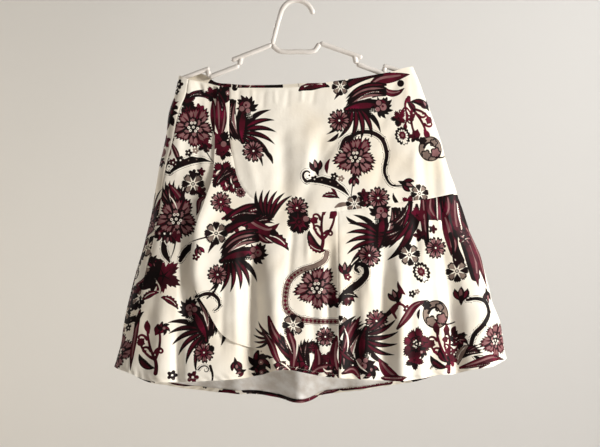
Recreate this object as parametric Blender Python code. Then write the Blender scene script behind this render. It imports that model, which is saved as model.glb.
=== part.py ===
"""An a-line skirt, held flat on a tubular plastic hanger.

Metres, +Z up, +X to the wearer's left, +Y from the front of the skirt to its back.
The origin is the point of the hook that bears on a nail or a rail.

The skirt is one smooth flattened tube. A place on it is (q, z): q runs once round
the tube, from -1 at the left edge over the front to 1 at the right edge and on over
the back to 3, which is the left edge again. Each panel is cut out of that tube by
its own outline, and its folds are added to it.
"""

import math
from collections import namedtuple

import bmesh
import bpy
import numpy as np
from mathutils import Vector
from mathutils.geometry import delaunay_2d_cdt

# Cloth
WALL = 0.0016  # sateen with the seam allowances that back it
FACING_WALL = 0.0010
SEAM_GAP = 0.0003
LAYER = WALL + SEAM_GAP  # from one layer of cloth to the next
CELL_FRONT, CELL_BACK = 0.0095, 0.0130  # width of the cloth mesh's cells
CELL_DOWN = 0.023  # and their height
EDGE_STEP = 0.013  # between points along a seam
ROUND_TURN = 4.0  # q for one whole turn
PLAN_WIDTH = 0.30  # metres for each q, where outlines are triangulated
TURN_COLUMNS = (0.925, 0.955, 0.98, 1.0)  # the mesh's columns where the cloth turns
COLUMN_CLEAR = 0.03  # q between them and the last even column
CORNER_CLEAR = 0.012  # least q from a panel's corner to a column
RIM_CLEAR = 0.0038  # least distance from a seam to the points inside it
LATTICE_TOP, LATTICE_LOW = -0.10, -0.72  # heights between which cloth may lie
Q_SAMPLES = 4001  # for finding q from x
SLOPE_STEP = 0.0005  # for the surface's slopes, in q and in metres
SHARP_ANGLE = math.radians(50)

# The flattened tube: its left and right edges, how far the front and the back stand
# off the middle plane, and how tightly the cloth turns round the two edges.
Section = namedtuple("Section", "z left right front back turn")
SECTIONS = (
    Section(-0.100, -0.2040, 0.1945, 0.0085, 0.0085, 0.0065),
    Section(-0.128, -0.2100, 0.2063, 0.0086, 0.0085, 0.0065),
    Section(-0.160, -0.2170, 0.2187, 0.0095, 0.0090, 0.0066),
    Section(-0.190, -0.2270, 0.2298, 0.0112, 0.0100, 0.0070),
    Section(-0.230, -0.2325, 0.2443, 0.0140, 0.0120, 0.0075),
    Section(-0.288, -0.2447, 0.2612, 0.0185, 0.0152, 0.0080),
    Section(-0.345, -0.2538, 0.2805, 0.0235, 0.0190, 0.0085),
    Section(-0.395, -0.2643, 0.2966, 0.0280, 0.0222, 0.0090),
    Section(-0.450, -0.2783, 0.3165, 0.0330, 0.0258, 0.0100),
    Section(-0.485, -0.2870, 0.3245, 0.0360, 0.0282, 0.0105),
    Section(-0.520, -0.2960, 0.3370, 0.0390, 0.0308, 0.0110),
    Section(-0.556, -0.3056, 0.3508, 0.0420, 0.0332, 0.0118),
    Section(-0.598, -0.3120, 0.3576, 0.0450, 0.0358, 0.0126),
    Section(-0.640, -0.3240, 0.3650, 0.0478, 0.0380, 0.0134),
    Section(-0.705, -0.3400, 0.3760, 0.0515, 0.0405, 0.0140),
)

# Height of the waist and hem edges over x, on the front and on the back.
WAIST_LEVEL, HEM_LEVEL = -0.14, -0.65  # about where they lie
Height = namedtuple("Height", "x z")
FRONT_WAIST = (
    Height(-0.208, -0.1279),
    Height(-0.193, -0.1345),
    Height(-0.173, -0.1384),
    Height(-0.154, -0.1423),
    Height(-0.138, -0.1468),
    Height(-0.121, -0.1489),
    Height(-0.077, -0.1496),
    Height(-0.037, -0.1496),
    Height(-0.009, -0.1489),
    Height(0.018, -0.1452),
    Height(0.054, -0.1391),
    Height(0.105, -0.1314),
    Height(0.140, -0.1252),
    Height(0.165, -0.1206),
    Height(0.180, -0.1157),
    Height(0.198, -0.1122),
)
BACK_WAIST = (
    Height(-0.208, -0.1279),
    Height(-0.192, -0.1265),
    Height(-0.177, -0.1222),
    Height(-0.163, -0.1262),
    Height(-0.149, -0.1358),
    Height(-0.121, -0.1402),
    Height(-0.042, -0.1419),
    Height(0.010, -0.1392),
    Height(0.054, -0.1382),
    Height(0.105, -0.1326),
    Height(0.140, -0.1264),
    Height(0.165, -0.1218),
    Height(0.180, -0.1169),
    Height(0.198, -0.1122),
)
FRONT_HEM = (
    Height(-0.323, -0.6360),
    Height(-0.297, -0.6427),
    Height(-0.264, -0.6547),
    Height(-0.231, -0.6577),
    Height(-0.147, -0.6547),
    Height(-0.101, -0.6517),
    Height(-0.066, -0.6457),
    Height(-0.038, -0.6366),
    Height(-0.012, -0.6370),
    Height(0.012, -0.6417),
    Height(0.037, -0.6467),
    Height(0.068, -0.6497),
    Height(0.133, -0.6537),
    Height(0.177, -0.6547),
    Height(0.210, -0.6507),
    Height(0.247, -0.6445),
    Height(0.266, -0.6450),
    Height(0.297, -0.6370),
    Height(0.338, -0.6305),
    Height(0.362, -0.6217),
)
BACK_HEM = (
    Height(-0.323, -0.6360),
    Height(-0.300, -0.6490),
    Height(-0.278, -0.6630),
    Height(-0.238, -0.6727),
    Height(-0.180, -0.6837),
    Height(-0.129, -0.6877),
    Height(-0.068, -0.6907),
    Height(-0.036, -0.6955),
    Height(-0.005, -0.6985),
    Height(0.024, -0.6970),
    Height(0.042, -0.6910),
    Height(0.068, -0.6877),
    Height(0.117, -0.6807),
    Height(0.166, -0.6747),
    Height(0.203, -0.6690),
    Height(0.241, -0.6560),
    Height(0.280, -0.6420),
    Height(0.330, -0.6300),
    Height(0.362, -0.6217),
)

# Folds of the hanging cloth. Each runs from its top to its low end and fades towards
# both; depth is how far it stands out of the cloth, and is negative for a trough.
Fold = namedtuple("Fold", "x_top z_top x_low z_low width depth")
FRONT_FOLDS = (
    # soft drag lines in the yoke
    Fold(-0.028, -0.190, -0.026, -0.385, 0.015, -0.0042),
    Fold(0.055, -0.200, -0.004, -0.385, 0.013, -0.0036),
    Fold(0.020, -0.200, 0.012, -0.360, 0.013, 0.0025),
    Fold(0.231, -0.235, 0.237, -0.375, 0.013, -0.0050),
    # left front
    Fold(-0.188, -0.330, -0.196, -0.600, 0.012, -0.0080),
    Fold(-0.228, -0.400, -0.246, -0.760, 0.017, 0.0065),
    Fold(-0.213, -0.520, -0.206, -0.760, 0.010, -0.0060),
    # centre flounce
    Fold(-0.078, -0.350, -0.074, -0.740, 0.013, -0.0160),
    Fold(-0.044, -0.370, -0.036, -0.900, 0.016, 0.0105),
    Fold(0.054, -0.390, 0.053, -0.620, 0.010, -0.0065),
    Fold(0.070, -0.370, 0.069, -0.800, 0.010, 0.0045),
    # right flounce
    Fold(0.095, -0.410, 0.093, -0.680, 0.012, -0.0065),
    Fold(0.149, -0.385, 0.145, -0.690, 0.014, -0.0095),
    Fold(0.173, -0.385, 0.178, -0.760, 0.014, 0.0075),
    Fold(0.234, -0.395, 0.228, -0.700, 0.018, -0.0055),
    Fold(0.258, -0.400, 0.281, -0.760, 0.015, -0.0150),
    Fold(0.307, -0.380, 0.328, -0.780, 0.021, 0.0075),
)
BACK_FOLDS = (
    # the middle of the back swings forward under the hem
    Fold(-0.003, -0.330, -0.004, -1.100, 0.030, -0.0300),
    # troughs and ridges that hang from the hips
    Fold(-0.245, -0.400, -0.258, -0.850, 0.017, -0.0060),
    Fold(-0.165, -0.330, -0.184, -0.900, 0.022, 0.0080),
    Fold(-0.103, -0.370, -0.112, -0.880, 0.018, -0.0090),
    Fold(0.106, -0.350, 0.120, -0.900, 0.020, -0.0095),
    Fold(0.170, -0.370, 0.194, -0.860, 0.022, 0.0080),
    Fold(0.245, -0.390, 0.272, -0.820, 0.018, -0.0080),
    # soft drag lines below the waist
    Fold(-0.070, -0.170, -0.052, -0.380, 0.016, -0.0030),
    Fold(0.096, -0.165, 0.072, -0.360, 0.015, -0.0030),
)
FOLD_RISE = 0.40  # share of a fold's length over which it deepens
FOLD_FALL = 0.30  # share over which it fades out again

# Seams and edges of the front, as (x, z)
LEFT_SEAM = (
    (-0.193, -0.1345),
    (-0.198, -0.1629),
    (-0.208, -0.1874),
    (-0.2205, -0.2452),
    (-0.232, -0.2889),
    (-0.2415, -0.3537),
    (-0.262, -0.4500),
    (-0.282, -0.5462),
    (-0.2975, -0.6425),
)
YOKE_SEAM = (
    (-0.1210, -0.1489),
    (-0.1210, -0.1874),
    (-0.1215, -0.2259),
    (-0.1140, -0.2749),
    (-0.1030, -0.3152),
    (-0.0840, -0.3400),
    (-0.0660, -0.3508),
    (-0.0300, -0.3610),
    (0.0158, -0.3670),
    (0.0542, -0.3650),
    (0.0945, -0.3615),
    (0.1733, -0.3493),
    (0.2223, -0.3432),
    (0.2538, -0.3371),
    (0.2730, -0.3330),
)
FREE_EDGE = (
    (-0.1435, -0.1455),
    (-0.1450, -0.1874),
    (-0.1461, -0.2242),
    (-0.1470, -0.2662),
    (-0.1500, -0.3064),
    (-0.1630, -0.3484),
    (-0.1750, -0.3834),
    (-0.1837, -0.4184),
    (-0.1875, -0.4534),
    (-0.1840, -0.4867),
    (-0.1715, -0.5120),
    (-0.1565, -0.5360),
    (-0.1460, -0.5560),
    (-0.1340, -0.5740),
    (-0.1173, -0.5864),
    (-0.0910, -0.5961),
    (-0.0680, -0.6040),
    (-0.0500, -0.6180),
    (-0.0380, -0.6366),
)
UPRIGHT_SEAM = ((0.0665, -0.3645), (0.0674, -0.5024), (0.0680, -0.6497))
HIDDEN_EDGE = (
    (-0.1030, -0.3152),
    (-0.0892, -0.4149),
    (-0.0648, -0.5164),
    (-0.0300, -0.5987),
    (-0.0060, -0.6385),
)
RIGHT_SEAM_Q = 1.05  # just behind the right edge
CENTRE_BACK_Q = 2.0

# How the lapped flounce's free edge stands off the left front
LAP_LIFT = 0.0100
LAP_REACH = 0.022  # how far in from the edge the lift fades
LAP_STEP = 0.004  # between the edge's points it is measured from
LAP_TOP, LAP_LOW = -0.265, -0.560
LAP_EASE = 0.11
LAP_UNDER = 0.030  # over which the left front sinks a layer, from its side seam
LAP_SLACK = 0.0010  # how loosely the flounce lies on the left front
LAP_SLOPE = 0.25  # share of a fold's depth by which the left front stays behind it

# Back waist facing
FACING_DEPTH = 0.034
FACING_DROP = 0.0006  # its fold lies just under the waist edge
FACING_END = 0.13  # q left free at each side edge
FACING_SPLIT = 0.004  # q left free at each side of the zip

# Hanger
TUBE_RADIUS = 0.0046
TIP_RADIUS = 0.0040
TIP_REACH = 0.6  # of its radius, from a tip's last point to the cloth's inside
TUBE_SIDES = 2  # bevel resolution: 8 sides
HOOK_RADIUS = 0.0285  # centreline of the round of the hook
HOOK_CENTRE = (-0.0040, -HOOK_RADIUS + TUBE_RADIUS)
HOOK_END_ANGLE = 7.0  # degrees above level where the hook stops
HOOK_STEM_ANGLE = 163.0  # degrees where the round runs into the stem
HOOK_POINTS = 17
LEFT_JOINT = (-0.0476, -0.0735)
RIGHT_JOINT = (0.0364, -0.0702)
DIP = (
    LEFT_JOINT,
    (-0.0402, -0.0802),
    (-0.0345, -0.0840),
    (-0.0280, -0.0852),
    (-0.0030, -0.0852),
    (0.0215, -0.0850),
    (0.0270, -0.0838),
    (0.0305, -0.0795),
    RIGHT_JOINT,
)
# Each arm steps down twice: three straight tubes, a link at each step.
LEFT_ARM = (
    (LEFT_JOINT, (-0.1185, -0.1008)),
    ((-0.1010, -0.0950), (-0.1046, -0.1098)),
    ((-0.1046, -0.1098), (-0.1575, -0.1300)),
    ((-0.1575, -0.1300), (-0.1600, -0.1165)),
)
RIGHT_ARM = (
    (RIGHT_JOINT, (0.1110, -0.0962)),
    ((0.0965, -0.0915), (0.1003, -0.1068)),
    ((0.1003, -0.1068), (0.1480, -0.1240)),
    ((0.1480, -0.1240), (0.1500, -0.1115)),
)
LEFT_TIP = ((-0.1560, -0.1140), -0.1330)  # inner end, and height of the outer end
RIGHT_TIP = ((0.1465, -0.1095), -0.1270)
END_ROUNDING = ((0.0, 0.35), (0.18, 0.72), (0.5, 0.93), (1.0, 1.0))  # way in and thickness, in radii

# Concealed zip at the centre back
SLIDER_BELOW_WAIST = 0.0095
SLIDER_SIZE = (0.0046, 0.0020, 0.0086)
ARCH_WIDTH = 0.0014
ARCH_BAR = 0.0008
ARCH_INSIDE = (0.0017, 0.0026)  # clear height over the slider, clear length
PULL_BAR = 0.0010
PULL_HOLE = (0.0023, 0.0027)  # width and length of the hole that the arch runs through
PULL_TOP_WIDTH = 0.0043
PULL_LOW_WIDTH = 0.0064
PULL_LENGTH = 0.0170

CREAM = (0.86, 0.80, 0.66)
BURGUNDY = (0.20, 0.02, 0.06)
WHITE_PLASTIC = (0.88, 0.86, 0.83)
NICKEL = (0.62, 0.60, 0.57)


def clear_scene():
    """Remove what the scene holds."""
    for thing in list(bpy.data.objects):
        bpy.data.objects.remove(thing, do_unlink=True)


def material(name, colour, roughness, metallic=0.0):
    """Make a plain Principled material."""
    made = bpy.data.materials.new(name)
    made.use_nodes = True
    shader = made.node_tree.nodes["Principled BSDF"]
    shader.inputs["Base Color"].default_value = (*colour, 1.0)
    shader.inputs["Roughness"].default_value = roughness
    shader.inputs["Metallic"].default_value = metallic
    return made


def show(name, mesh, finish):
    """Put a mesh in the scene, under its node's name."""
    mesh.materials.clear()
    mesh.materials.append(finish)
    mesh.shade_smooth()
    mesh.set_sharp_from_angle(angle=SHARP_ANGLE)
    made = bpy.data.objects.new(name, mesh)
    bpy.context.scene.collection.objects.link(made)
    return made


# The smooth tube


def smooth(xs, ys, x):
    """Read a cubic that runs through the points, its slopes taken from their neighbours."""
    xs, ys = np.asarray(xs, float), np.asarray(ys, float)
    slopes = np.gradient(ys, xs)
    x = np.clip(x, xs[0], xs[-1])
    i = np.clip(np.searchsorted(xs, x) - 1, 0, len(xs) - 2)
    gap = xs[i + 1] - xs[i]
    t = (x - xs[i]) / gap
    from_left = (1 - t) ** 2 * ((1 + 2 * t) * ys[i] + t * gap * slopes[i])
    from_right = t**2 * ((3 - 2 * t) * ys[i + 1] + (t - 1) * gap * slopes[i + 1])
    return from_left + from_right


def ease(t):
    """Rise smoothly from 0 to 1 as t does."""
    t = np.clip(t, 0.0, 1.0)
    return t * t * (3 - 2 * t)


def section(column, z):
    """Read one column of SECTIONS at height z."""
    rows = SECTIONS[::-1]
    return smooth([row.z for row in rows], [getattr(row, column) for row in rows], z)


def unrolled(q):
    """Tell whether q is on the back, and give its place from -1 (left edge) to 1 (right edge)."""
    q = (np.asarray(q, float) + 1) % ROUND_TURN - 1
    behind = q > 1
    return behind, np.where(behind, 2 - q, q)


def share_of_width(place):
    """Turn a place from -1 to 1 into a share of the half width, slowing down at the edges."""
    return place + (place - place**9) / 8


def tube_point(q, z):
    """Point of the smooth tube."""
    behind, place = unrolled(q)
    share = share_of_width(place)
    left, right = section("left", z), section("right", z)
    front, back = section("front", z), section("back", z)
    half = (right - left) / 2
    squareness = 2 * half * section("turn", z) / ((front + back) / 2) ** 2
    stand = np.sqrt(np.clip(1 - np.abs(share) ** squareness, 0, None))
    x = (left + right) / 2 + half * share
    y = np.where(behind, back, -front) * stand
    return np.stack([x, y, z + 0 * x], axis=-1)


def tube_normal(q, z):
    """Outward normal of the smooth tube, and metres for each q."""
    step = SLOPE_STEP
    round_it = (tube_point(q + step, z) - tube_point(q - step, z)) / (2 * step)
    upward = (tube_point(q, z + step) - tube_point(q, z - step)) / (2 * step)
    normal = np.cross(round_it, upward)
    normal /= np.linalg.norm(normal, axis=-1, keepdims=True)
    return normal, np.linalg.norm(round_it, axis=-1)


def fold_depth(q, z):
    """How far the folds move the cloth out of the smooth tube."""
    behind, _ = unrolled(q)
    x = tube_point(q, z)[..., 0]
    total = np.zeros_like(x)
    for table, side in ((FRONT_FOLDS, ~behind), (BACK_FOLDS, behind)):
        for fold in table:
            along = (fold.z_top - z) / (fold.z_top - fold.z_low)
            middle = fold.x_top + (fold.x_low - fold.x_top) * along
            strength = ease(along / FOLD_RISE) * ease((1 - along) / FOLD_FALL)
            total += side * fold.depth * strength * np.exp(-(((x - middle) / fold.width) ** 2))
    return total


# Outlines, as rows of (q, z)


def curve(points, step=EDGE_STEP):
    """Points at even steps along a smooth curve through some (x, z)."""
    points = np.array(points, float)
    run = np.concatenate([[0], np.cumsum(np.linalg.norm(np.diff(points, axis=0), axis=1))])
    places = np.linspace(0, run[-1], max(2, round(run[-1] / step) + 1))
    return np.stack([smooth(run, points[:, axis], places) for axis in (0, 1)], axis=-1)


def q_of(x, z):
    """Find q of a point of the front from its x and z."""
    left, right = section("left", z), section("right", z)
    share = np.clip((x - (left + right) / 2) / ((right - left) / 2), -1, 1)
    places = np.linspace(-1, 1, Q_SAMPLES)
    return np.interp(share, share_of_width(places), places)


def on_front(points):
    """Turn (x, z) on the front into (q, z)."""
    return np.stack([q_of(points[:, 0], points[:, 1]), points[:, 1]], axis=-1)


def edge_height(q, front, back, level):
    """Height of an edge at q, from its tables over x. level is about where it lies."""
    behind, _ = unrolled(q)
    height = np.full_like(q, level)
    for _ in range(6):
        x = tube_point(q, height)[..., 0]
        on_the_front = smooth([row.x for row in front], [row.z for row in front], x)
        on_the_back = smooth([row.x for row in back], [row.z for row in back], x)
        height = np.where(behind, on_the_back, on_the_front)
    return height


def waist_height(q):
    """Height of the waist edge at q."""
    return edge_height(q, FRONT_WAIST, BACK_WAIST, WAIST_LEVEL)


def hem_height(q):
    """Height of the hem at q."""
    return edge_height(q, FRONT_HEM, BACK_HEM, HEM_LEVEL)


def columns():
    """The q of the mesh's columns: even on the flats, closer where the cloth turns."""
    sides = []
    for cell in (CELL_FRONT, CELL_BACK):
        half = np.arange(0, TURN_COLUMNS[0] - COLUMN_CLEAR, cell / PLAN_WIDTH)
        sides.append(np.concatenate([-np.array(TURN_COLUMNS[::-1]), -half[:0:-1], half, TURN_COLUMNS]))
    front, back = sides
    return np.concatenate([front, CENTRE_BACK_Q + back[1:-1]])


def all_columns():
    """The columns once round the tube, and the same again before and after."""
    return np.concatenate([columns() - ROUND_TURN, columns(), columns() + ROUND_TURN])


def level_edge(start, stop, height):
    """An edge from q = start to q = stop, with the mesh's columns as its points."""
    marks = all_columns()
    low, high = min(start, stop), max(start, stop)
    inside = marks[(marks > low + CORNER_CLEAR) & (marks < high - CORNER_CLEAR)]
    places = np.concatenate([[low], inside, [high]])
    line = np.stack([places, height(places)], axis=-1)
    return line if start < stop else line[::-1]


def waist(start, stop):
    """The waist edge from one q to another."""
    return level_edge(start, stop, waist_height)


def hem(start, stop):
    """The hem from one q to another."""
    return level_edge(start, stop, hem_height)


def down(q, z_top, z_low, step=CELL_DOWN):
    """An upright line at one q."""
    heights = np.linspace(z_top, z_low, max(2, round((z_top - z_low) / step) + 1))
    return np.stack([np.full_like(heights, q), heights], axis=-1)


def joined(*runs):
    """One closed outline from runs that meet end to start."""
    points = [run[:-1] for run in runs]
    return np.concatenate(points)


def pulled_in(outline, amount):
    """Move an outline inwards by an amount in metres."""
    _, scale = tube_normal(outline[:, 0], outline[:, 1])
    flat = np.stack([outline[:, 0] * scale, outline[:, 1]], axis=-1)
    along = np.roll(outline, -1, axis=0) - np.roll(outline, 1, axis=0)
    along[:, 0] *= scale
    inward = np.stack([-along[:, 1], along[:, 0]], axis=-1)
    inward /= np.linalg.norm(inward, axis=1, keepdims=True)
    flat += amount * inward
    return np.stack([flat[:, 0] / scale, flat[:, 1]], axis=-1)


def plan(points):
    """Put (q, z) on one scale, for measuring and triangulating."""
    return points * np.array([PLAN_WIDTH, 1.0])


def far_inside(points, outline, least):
    """Tell which points lie inside a closed outline, and at least so far from it."""
    a, b = outline, np.roll(outline, -1, axis=0)
    px, py = points[:, :1], points[:, 1:]
    crosses = (a[:, 1] > py) != (b[:, 1] > py)
    rise = np.where(b[:, 1] == a[:, 1], 1.0, b[:, 1] - a[:, 1])
    at = a[:, 0] + (py - a[:, 1]) / rise * (b[:, 0] - a[:, 0])
    inside = (crosses & (px < at)).sum(axis=1) % 2 == 1
    run = b - a
    t = ((px - a[:, 0]) * run[:, 0] + (py - a[:, 1]) * run[:, 1]) / (run**2).sum(axis=1)
    t = np.clip(t, 0, 1)
    away = np.hypot(px - a[:, 0] - t * run[:, 0], py - a[:, 1] - t * run[:, 1])
    return inside & (away.min(axis=1) > least)


def cloth(name, outline, rise, finish, wall=WALL):
    """Cut a panel out of the tube and give it its wall. rise(q, z) is its layer and lift."""
    edge = plan(pulled_in(outline, SEAM_GAP / 2))
    levels = np.arange(LATTICE_TOP, LATTICE_LOW, -CELL_DOWN)
    lattice = plan(np.array([(q, z) for z in levels for q in all_columns()]))
    lattice = lattice[far_inside(lattice, edge, RIM_CLEAR)]
    flat = [Vector(p) for p in np.concatenate([edge, lattice])]
    rim = [(i, (i + 1) % len(edge)) for i in range(len(edge))]
    flat, _, faces, *_ = delaunay_2d_cdt(flat, rim, [], 1, 1e-7)

    q = np.array([p.x for p in flat]) / PLAN_WIDTH
    z = np.array([p.y for p in flat])
    normal, _ = tube_normal(q, z)
    height = (fold_depth(q, z) + rise(q, z))[:, None]
    outside = tube_point(q, z) + normal * height
    inside = outside - normal * wall
    count = len(q)
    used = {(a, b) for f in faces for a, b in zip(f, (*f[1:], f[0]))}
    open_edges = [(a, b) for a, b in used if (b, a) not in used]
    shell = [tuple(f) for f in faces]
    shell += [tuple(count + i for i in reversed(f)) for f in faces]
    shell += [(b, a, count + a, count + b) for a, b in sorted(open_edges)]
    mesh = bpy.data.meshes.new(name)
    mesh.from_pydata([tuple(p) for p in np.concatenate([outside, inside])], [], shell)
    return show(name, mesh, finish)


# Layers and lifts


def flush(q, z):
    """A panel that lies in the tube's own surface."""
    return np.zeros_like(q)


def one_layer_in(q, z):
    """The facing, behind the back's wall."""
    return np.full_like(q, -LAYER)


def under_lap(q, z):
    """The left front: flush at its side seam, one layer in where the flounce laps over it."""
    x = tube_point(q, z)[..., 0]
    seam = curve(LEFT_SEAM)
    start = np.interp(-z, -seam[:, 1], seam[:, 0])
    behind = LAYER + LAP_SLACK + LAP_SLOPE * np.abs(fold_depth(q, z))
    return -behind * ease((x - start) / LAP_UNDER)


def lap_lift(q, z):
    """The centre flounce: its free edge stands forward over the middle of its length."""
    x = tube_point(q, z)[..., 0]
    edge = curve(FREE_EDGE, LAP_STEP)
    away = np.full(x.shape, np.inf)
    for px, pz in edge:
        away = np.minimum(away, np.hypot(x - px, z - pz))
    strength = ease((LAP_TOP - z) / LAP_EASE) * ease((z - LAP_LOW) / LAP_EASE)
    return LAP_LIFT * strength * np.exp(-((away / LAP_REACH) ** 2))


def build_skirt(print_cloth, facing_cloth):
    """Cut the skirt's panels."""
    left_seam = on_front(curve(LEFT_SEAM, CELL_DOWN))
    yoke = on_front(curve(YOKE_SEAM))
    free_edge = on_front(curve(FREE_EDGE))
    upright = on_front(curve(UPRIGHT_SEAM, CELL_DOWN))
    hidden = on_front(curve(HIDDEN_EDGE, CELL_DOWN))
    for line in (left_seam, yoke, free_edge):
        line[0, 1] = waist_height(line[:1, 0])[0]
    for line in (left_seam, free_edge, upright, hidden):
        line[-1, 1] = hem_height(line[-1:, 0])[0]

    crossing = int(np.argmin(np.hypot(*(plan(yoke) - plan(upright[:1])).T)))
    upright[0] = yoke[crossing]
    parting = int(np.argmin(np.hypot(*(plan(yoke) - plan(hidden[:1])).T)))
    hidden[0] = yoke[parting]
    yoke[-1, 0] = RIGHT_SEAM_Q
    right_waist = waist(RIGHT_SEAM_Q, CENTRE_BACK_Q)[0, 1]
    right_hem = hem(RIGHT_SEAM_Q, CENTRE_BACK_Q)[0, 1]
    right_upper = down(RIGHT_SEAM_Q, right_waist, yoke[-1, 1])
    right_lower = down(RIGHT_SEAM_Q, yoke[-1, 1], right_hem)
    centre_back = down(CENTRE_BACK_Q, waist(CENTRE_BACK_Q, 3)[0, 1], hem(CENTRE_BACK_Q, 3)[0, 1])
    left_from_back = left_seam + np.array([ROUND_TURN, 0.0])

    panels = {
        "yoke_front": (
            joined(yoke, right_upper[::-1], waist(RIGHT_SEAM_Q, yoke[0, 0])),
            flush,
        ),
        "front_left": (
            joined(
                left_seam,
                hem(left_seam[-1, 0], hidden[-1, 0]),
                hidden[::-1],
                yoke[: parting + 1][::-1],
                waist(yoke[0, 0], left_seam[0, 0]),
            ),
            under_lap,
        ),
        "flounce_centre": (
            joined(
                free_edge,
                hem(free_edge[-1, 0], upright[-1, 0]),
                upright[::-1],
                yoke[: crossing + 1][::-1],
                waist(yoke[0, 0], free_edge[0, 0]),
            ),
            lap_lift,
        ),
        "flounce_right": (
            joined(
                upright,
                hem(upright[-1, 0], RIGHT_SEAM_Q),
                right_lower[::-1],
                yoke[crossing:][::-1],
            ),
            flush,
        ),
        "back_right": (
            joined(
                np.concatenate([right_upper[:-1], right_lower]),
                hem(RIGHT_SEAM_Q, CENTRE_BACK_Q),
                centre_back[::-1],
                waist(CENTRE_BACK_Q, RIGHT_SEAM_Q),
            ),
            flush,
        ),
        "back_left": (
            joined(
                centre_back,
                hem(CENTRE_BACK_Q, left_from_back[-1, 0]),
                left_from_back[::-1],
                waist(left_from_back[0, 0], CENTRE_BACK_Q),
            ),
            flush,
        ),
    }
    for name, (outline, rise) in panels.items():
        cloth(name, outline, rise, print_cloth)

    for name, start, stop in (
        ("facing_right", 1 + FACING_END, CENTRE_BACK_Q - FACING_SPLIT),
        ("facing_left", CENTRE_BACK_Q + FACING_SPLIT, 3 - FACING_END),
    ):
        top = waist(start, stop) - np.array([0.0, FACING_DROP])
        low = top - np.array([0.0, FACING_DEPTH])
        near_end = down(start, top[0, 1], low[0, 1])
        far_end = down(stop, top[-1, 1], low[-1, 1])
        strip = joined(near_end, low, far_end[::-1], top[::-1])
        cloth(name, strip, one_layer_in, facing_cloth, FACING_WALL)


# Hanger


def tube(name, points, radius):
    """A round bar with rounded ends along some (x, z), as a mesh object."""
    path = curve(points, radius)
    run = np.concatenate([[0], np.cumsum(np.linalg.norm(np.diff(path, axis=0), axis=1))])
    rounding = radius * np.array([share for share, _ in END_ROUNDING])
    inner = run[(run > radius) & (run < run[-1] - radius)]
    places = np.concatenate([rounding, inner, run[-1] - rounding[::-1]])
    from_end = np.minimum(places, run[-1] - places)
    thickness = np.interp(from_end, rounding, [share for _, share in END_ROUNDING])
    data = bpy.data.curves.new(name, "CURVE")
    data.dimensions = "3D"
    data.bevel_depth = radius
    data.bevel_resolution = TUBE_SIDES
    data.use_fill_caps = True
    data.render_resolution_u = 0
    line = data.splines.new("POLY")
    line.points.add(len(places) - 1)
    for point, place, share in zip(line.points, places, thickness):
        x = np.interp(place, run, path[:, 0])
        z = np.interp(place, run, path[:, 1])
        point.co = (x, 0.0, z, 1.0)
        point.radius = share
    bent = bpy.data.objects.new(name, data)
    mesh = bpy.data.meshes.new_from_object(bent)
    bpy.data.objects.remove(bent)
    return bpy.data.objects.new(name, mesh)


def hook_line():
    """Centreline of the hook: stem, round, and the free end."""
    cx, cz = HOOK_CENTRE
    angles = np.radians(np.linspace(HOOK_STEM_ANGLE, HOOK_END_ANGLE, HOOK_POINTS))
    arc = [(cx + HOOK_RADIUS * math.cos(a), cz + HOOK_RADIUS * math.sin(a)) for a in angles]
    return [LEFT_JOINT, *arc]


def build_hanger(finish):
    """Join the hook, the dropped bar and the two stepped arms into one moulding."""
    left_in, left_z = LEFT_TIP
    right_in, right_z = RIGHT_TIP
    left_x = float(section("left", left_z)) + LAYER + TIP_RADIUS * TIP_REACH
    right_x = float(section("right", right_z)) - LAYER - TIP_RADIUS * TIP_REACH
    bars = [("dip", DIP, TUBE_RADIUS), ("hook", hook_line(), TUBE_RADIUS)]
    for side, arm in (("left", LEFT_ARM), ("right", RIGHT_ARM)):
        bars += [(f"{side}_arm_{i}", ends, TUBE_RADIUS) for i, ends in enumerate(arm)]
    bars.append(("left_tip", (left_in, (left_x, left_z)), TIP_RADIUS))
    bars.append(("right_tip", (right_in, (right_x, right_z)), TIP_RADIUS))
    first, *others = [tube(f"hanger_{name}", points, radius) for name, points, radius in bars]
    body = show("hanger", first.data, finish)
    pieces = bpy.data.collections.new("hanger_pieces")
    bpy.context.scene.collection.children.link(pieces)
    for piece in others:
        piece.hide_render = True
        piece.display_type = "WIRE"
        pieces.objects.link(piece)
    join = body.modifiers.new("one moulding", "BOOLEAN")
    join.operation = "UNION"
    join.operand_type = "COLLECTION"
    join.collection = pieces


# Zip


def prism(name, rings, depth, axis):
    """Extrude a flat outline, with the holes that follow it, by depth along an axis."""
    shape = bmesh.new()
    edges = []
    for ring in rings:
        points = [shape.verts.new(p) for p in ring]
        edges += [shape.edges.new((points[i - 1], points[i])) for i in range(len(points))]
    bmesh.ops.triangle_fill(shape, use_beauty=True, use_dissolve=False, edges=edges)
    push = bmesh.ops.extrude_face_region(shape, geom=shape.faces[:])
    moved = [part for part in push["geom"] if isinstance(part, bmesh.types.BMVert)]
    bmesh.ops.translate(shape, verts=moved, vec=Vector(axis) * depth)
    bmesh.ops.recalc_face_normals(shape, faces=shape.faces)
    mesh = bpy.data.meshes.new(name)
    shape.to_mesh(mesh)
    shape.free()
    return mesh


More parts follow.
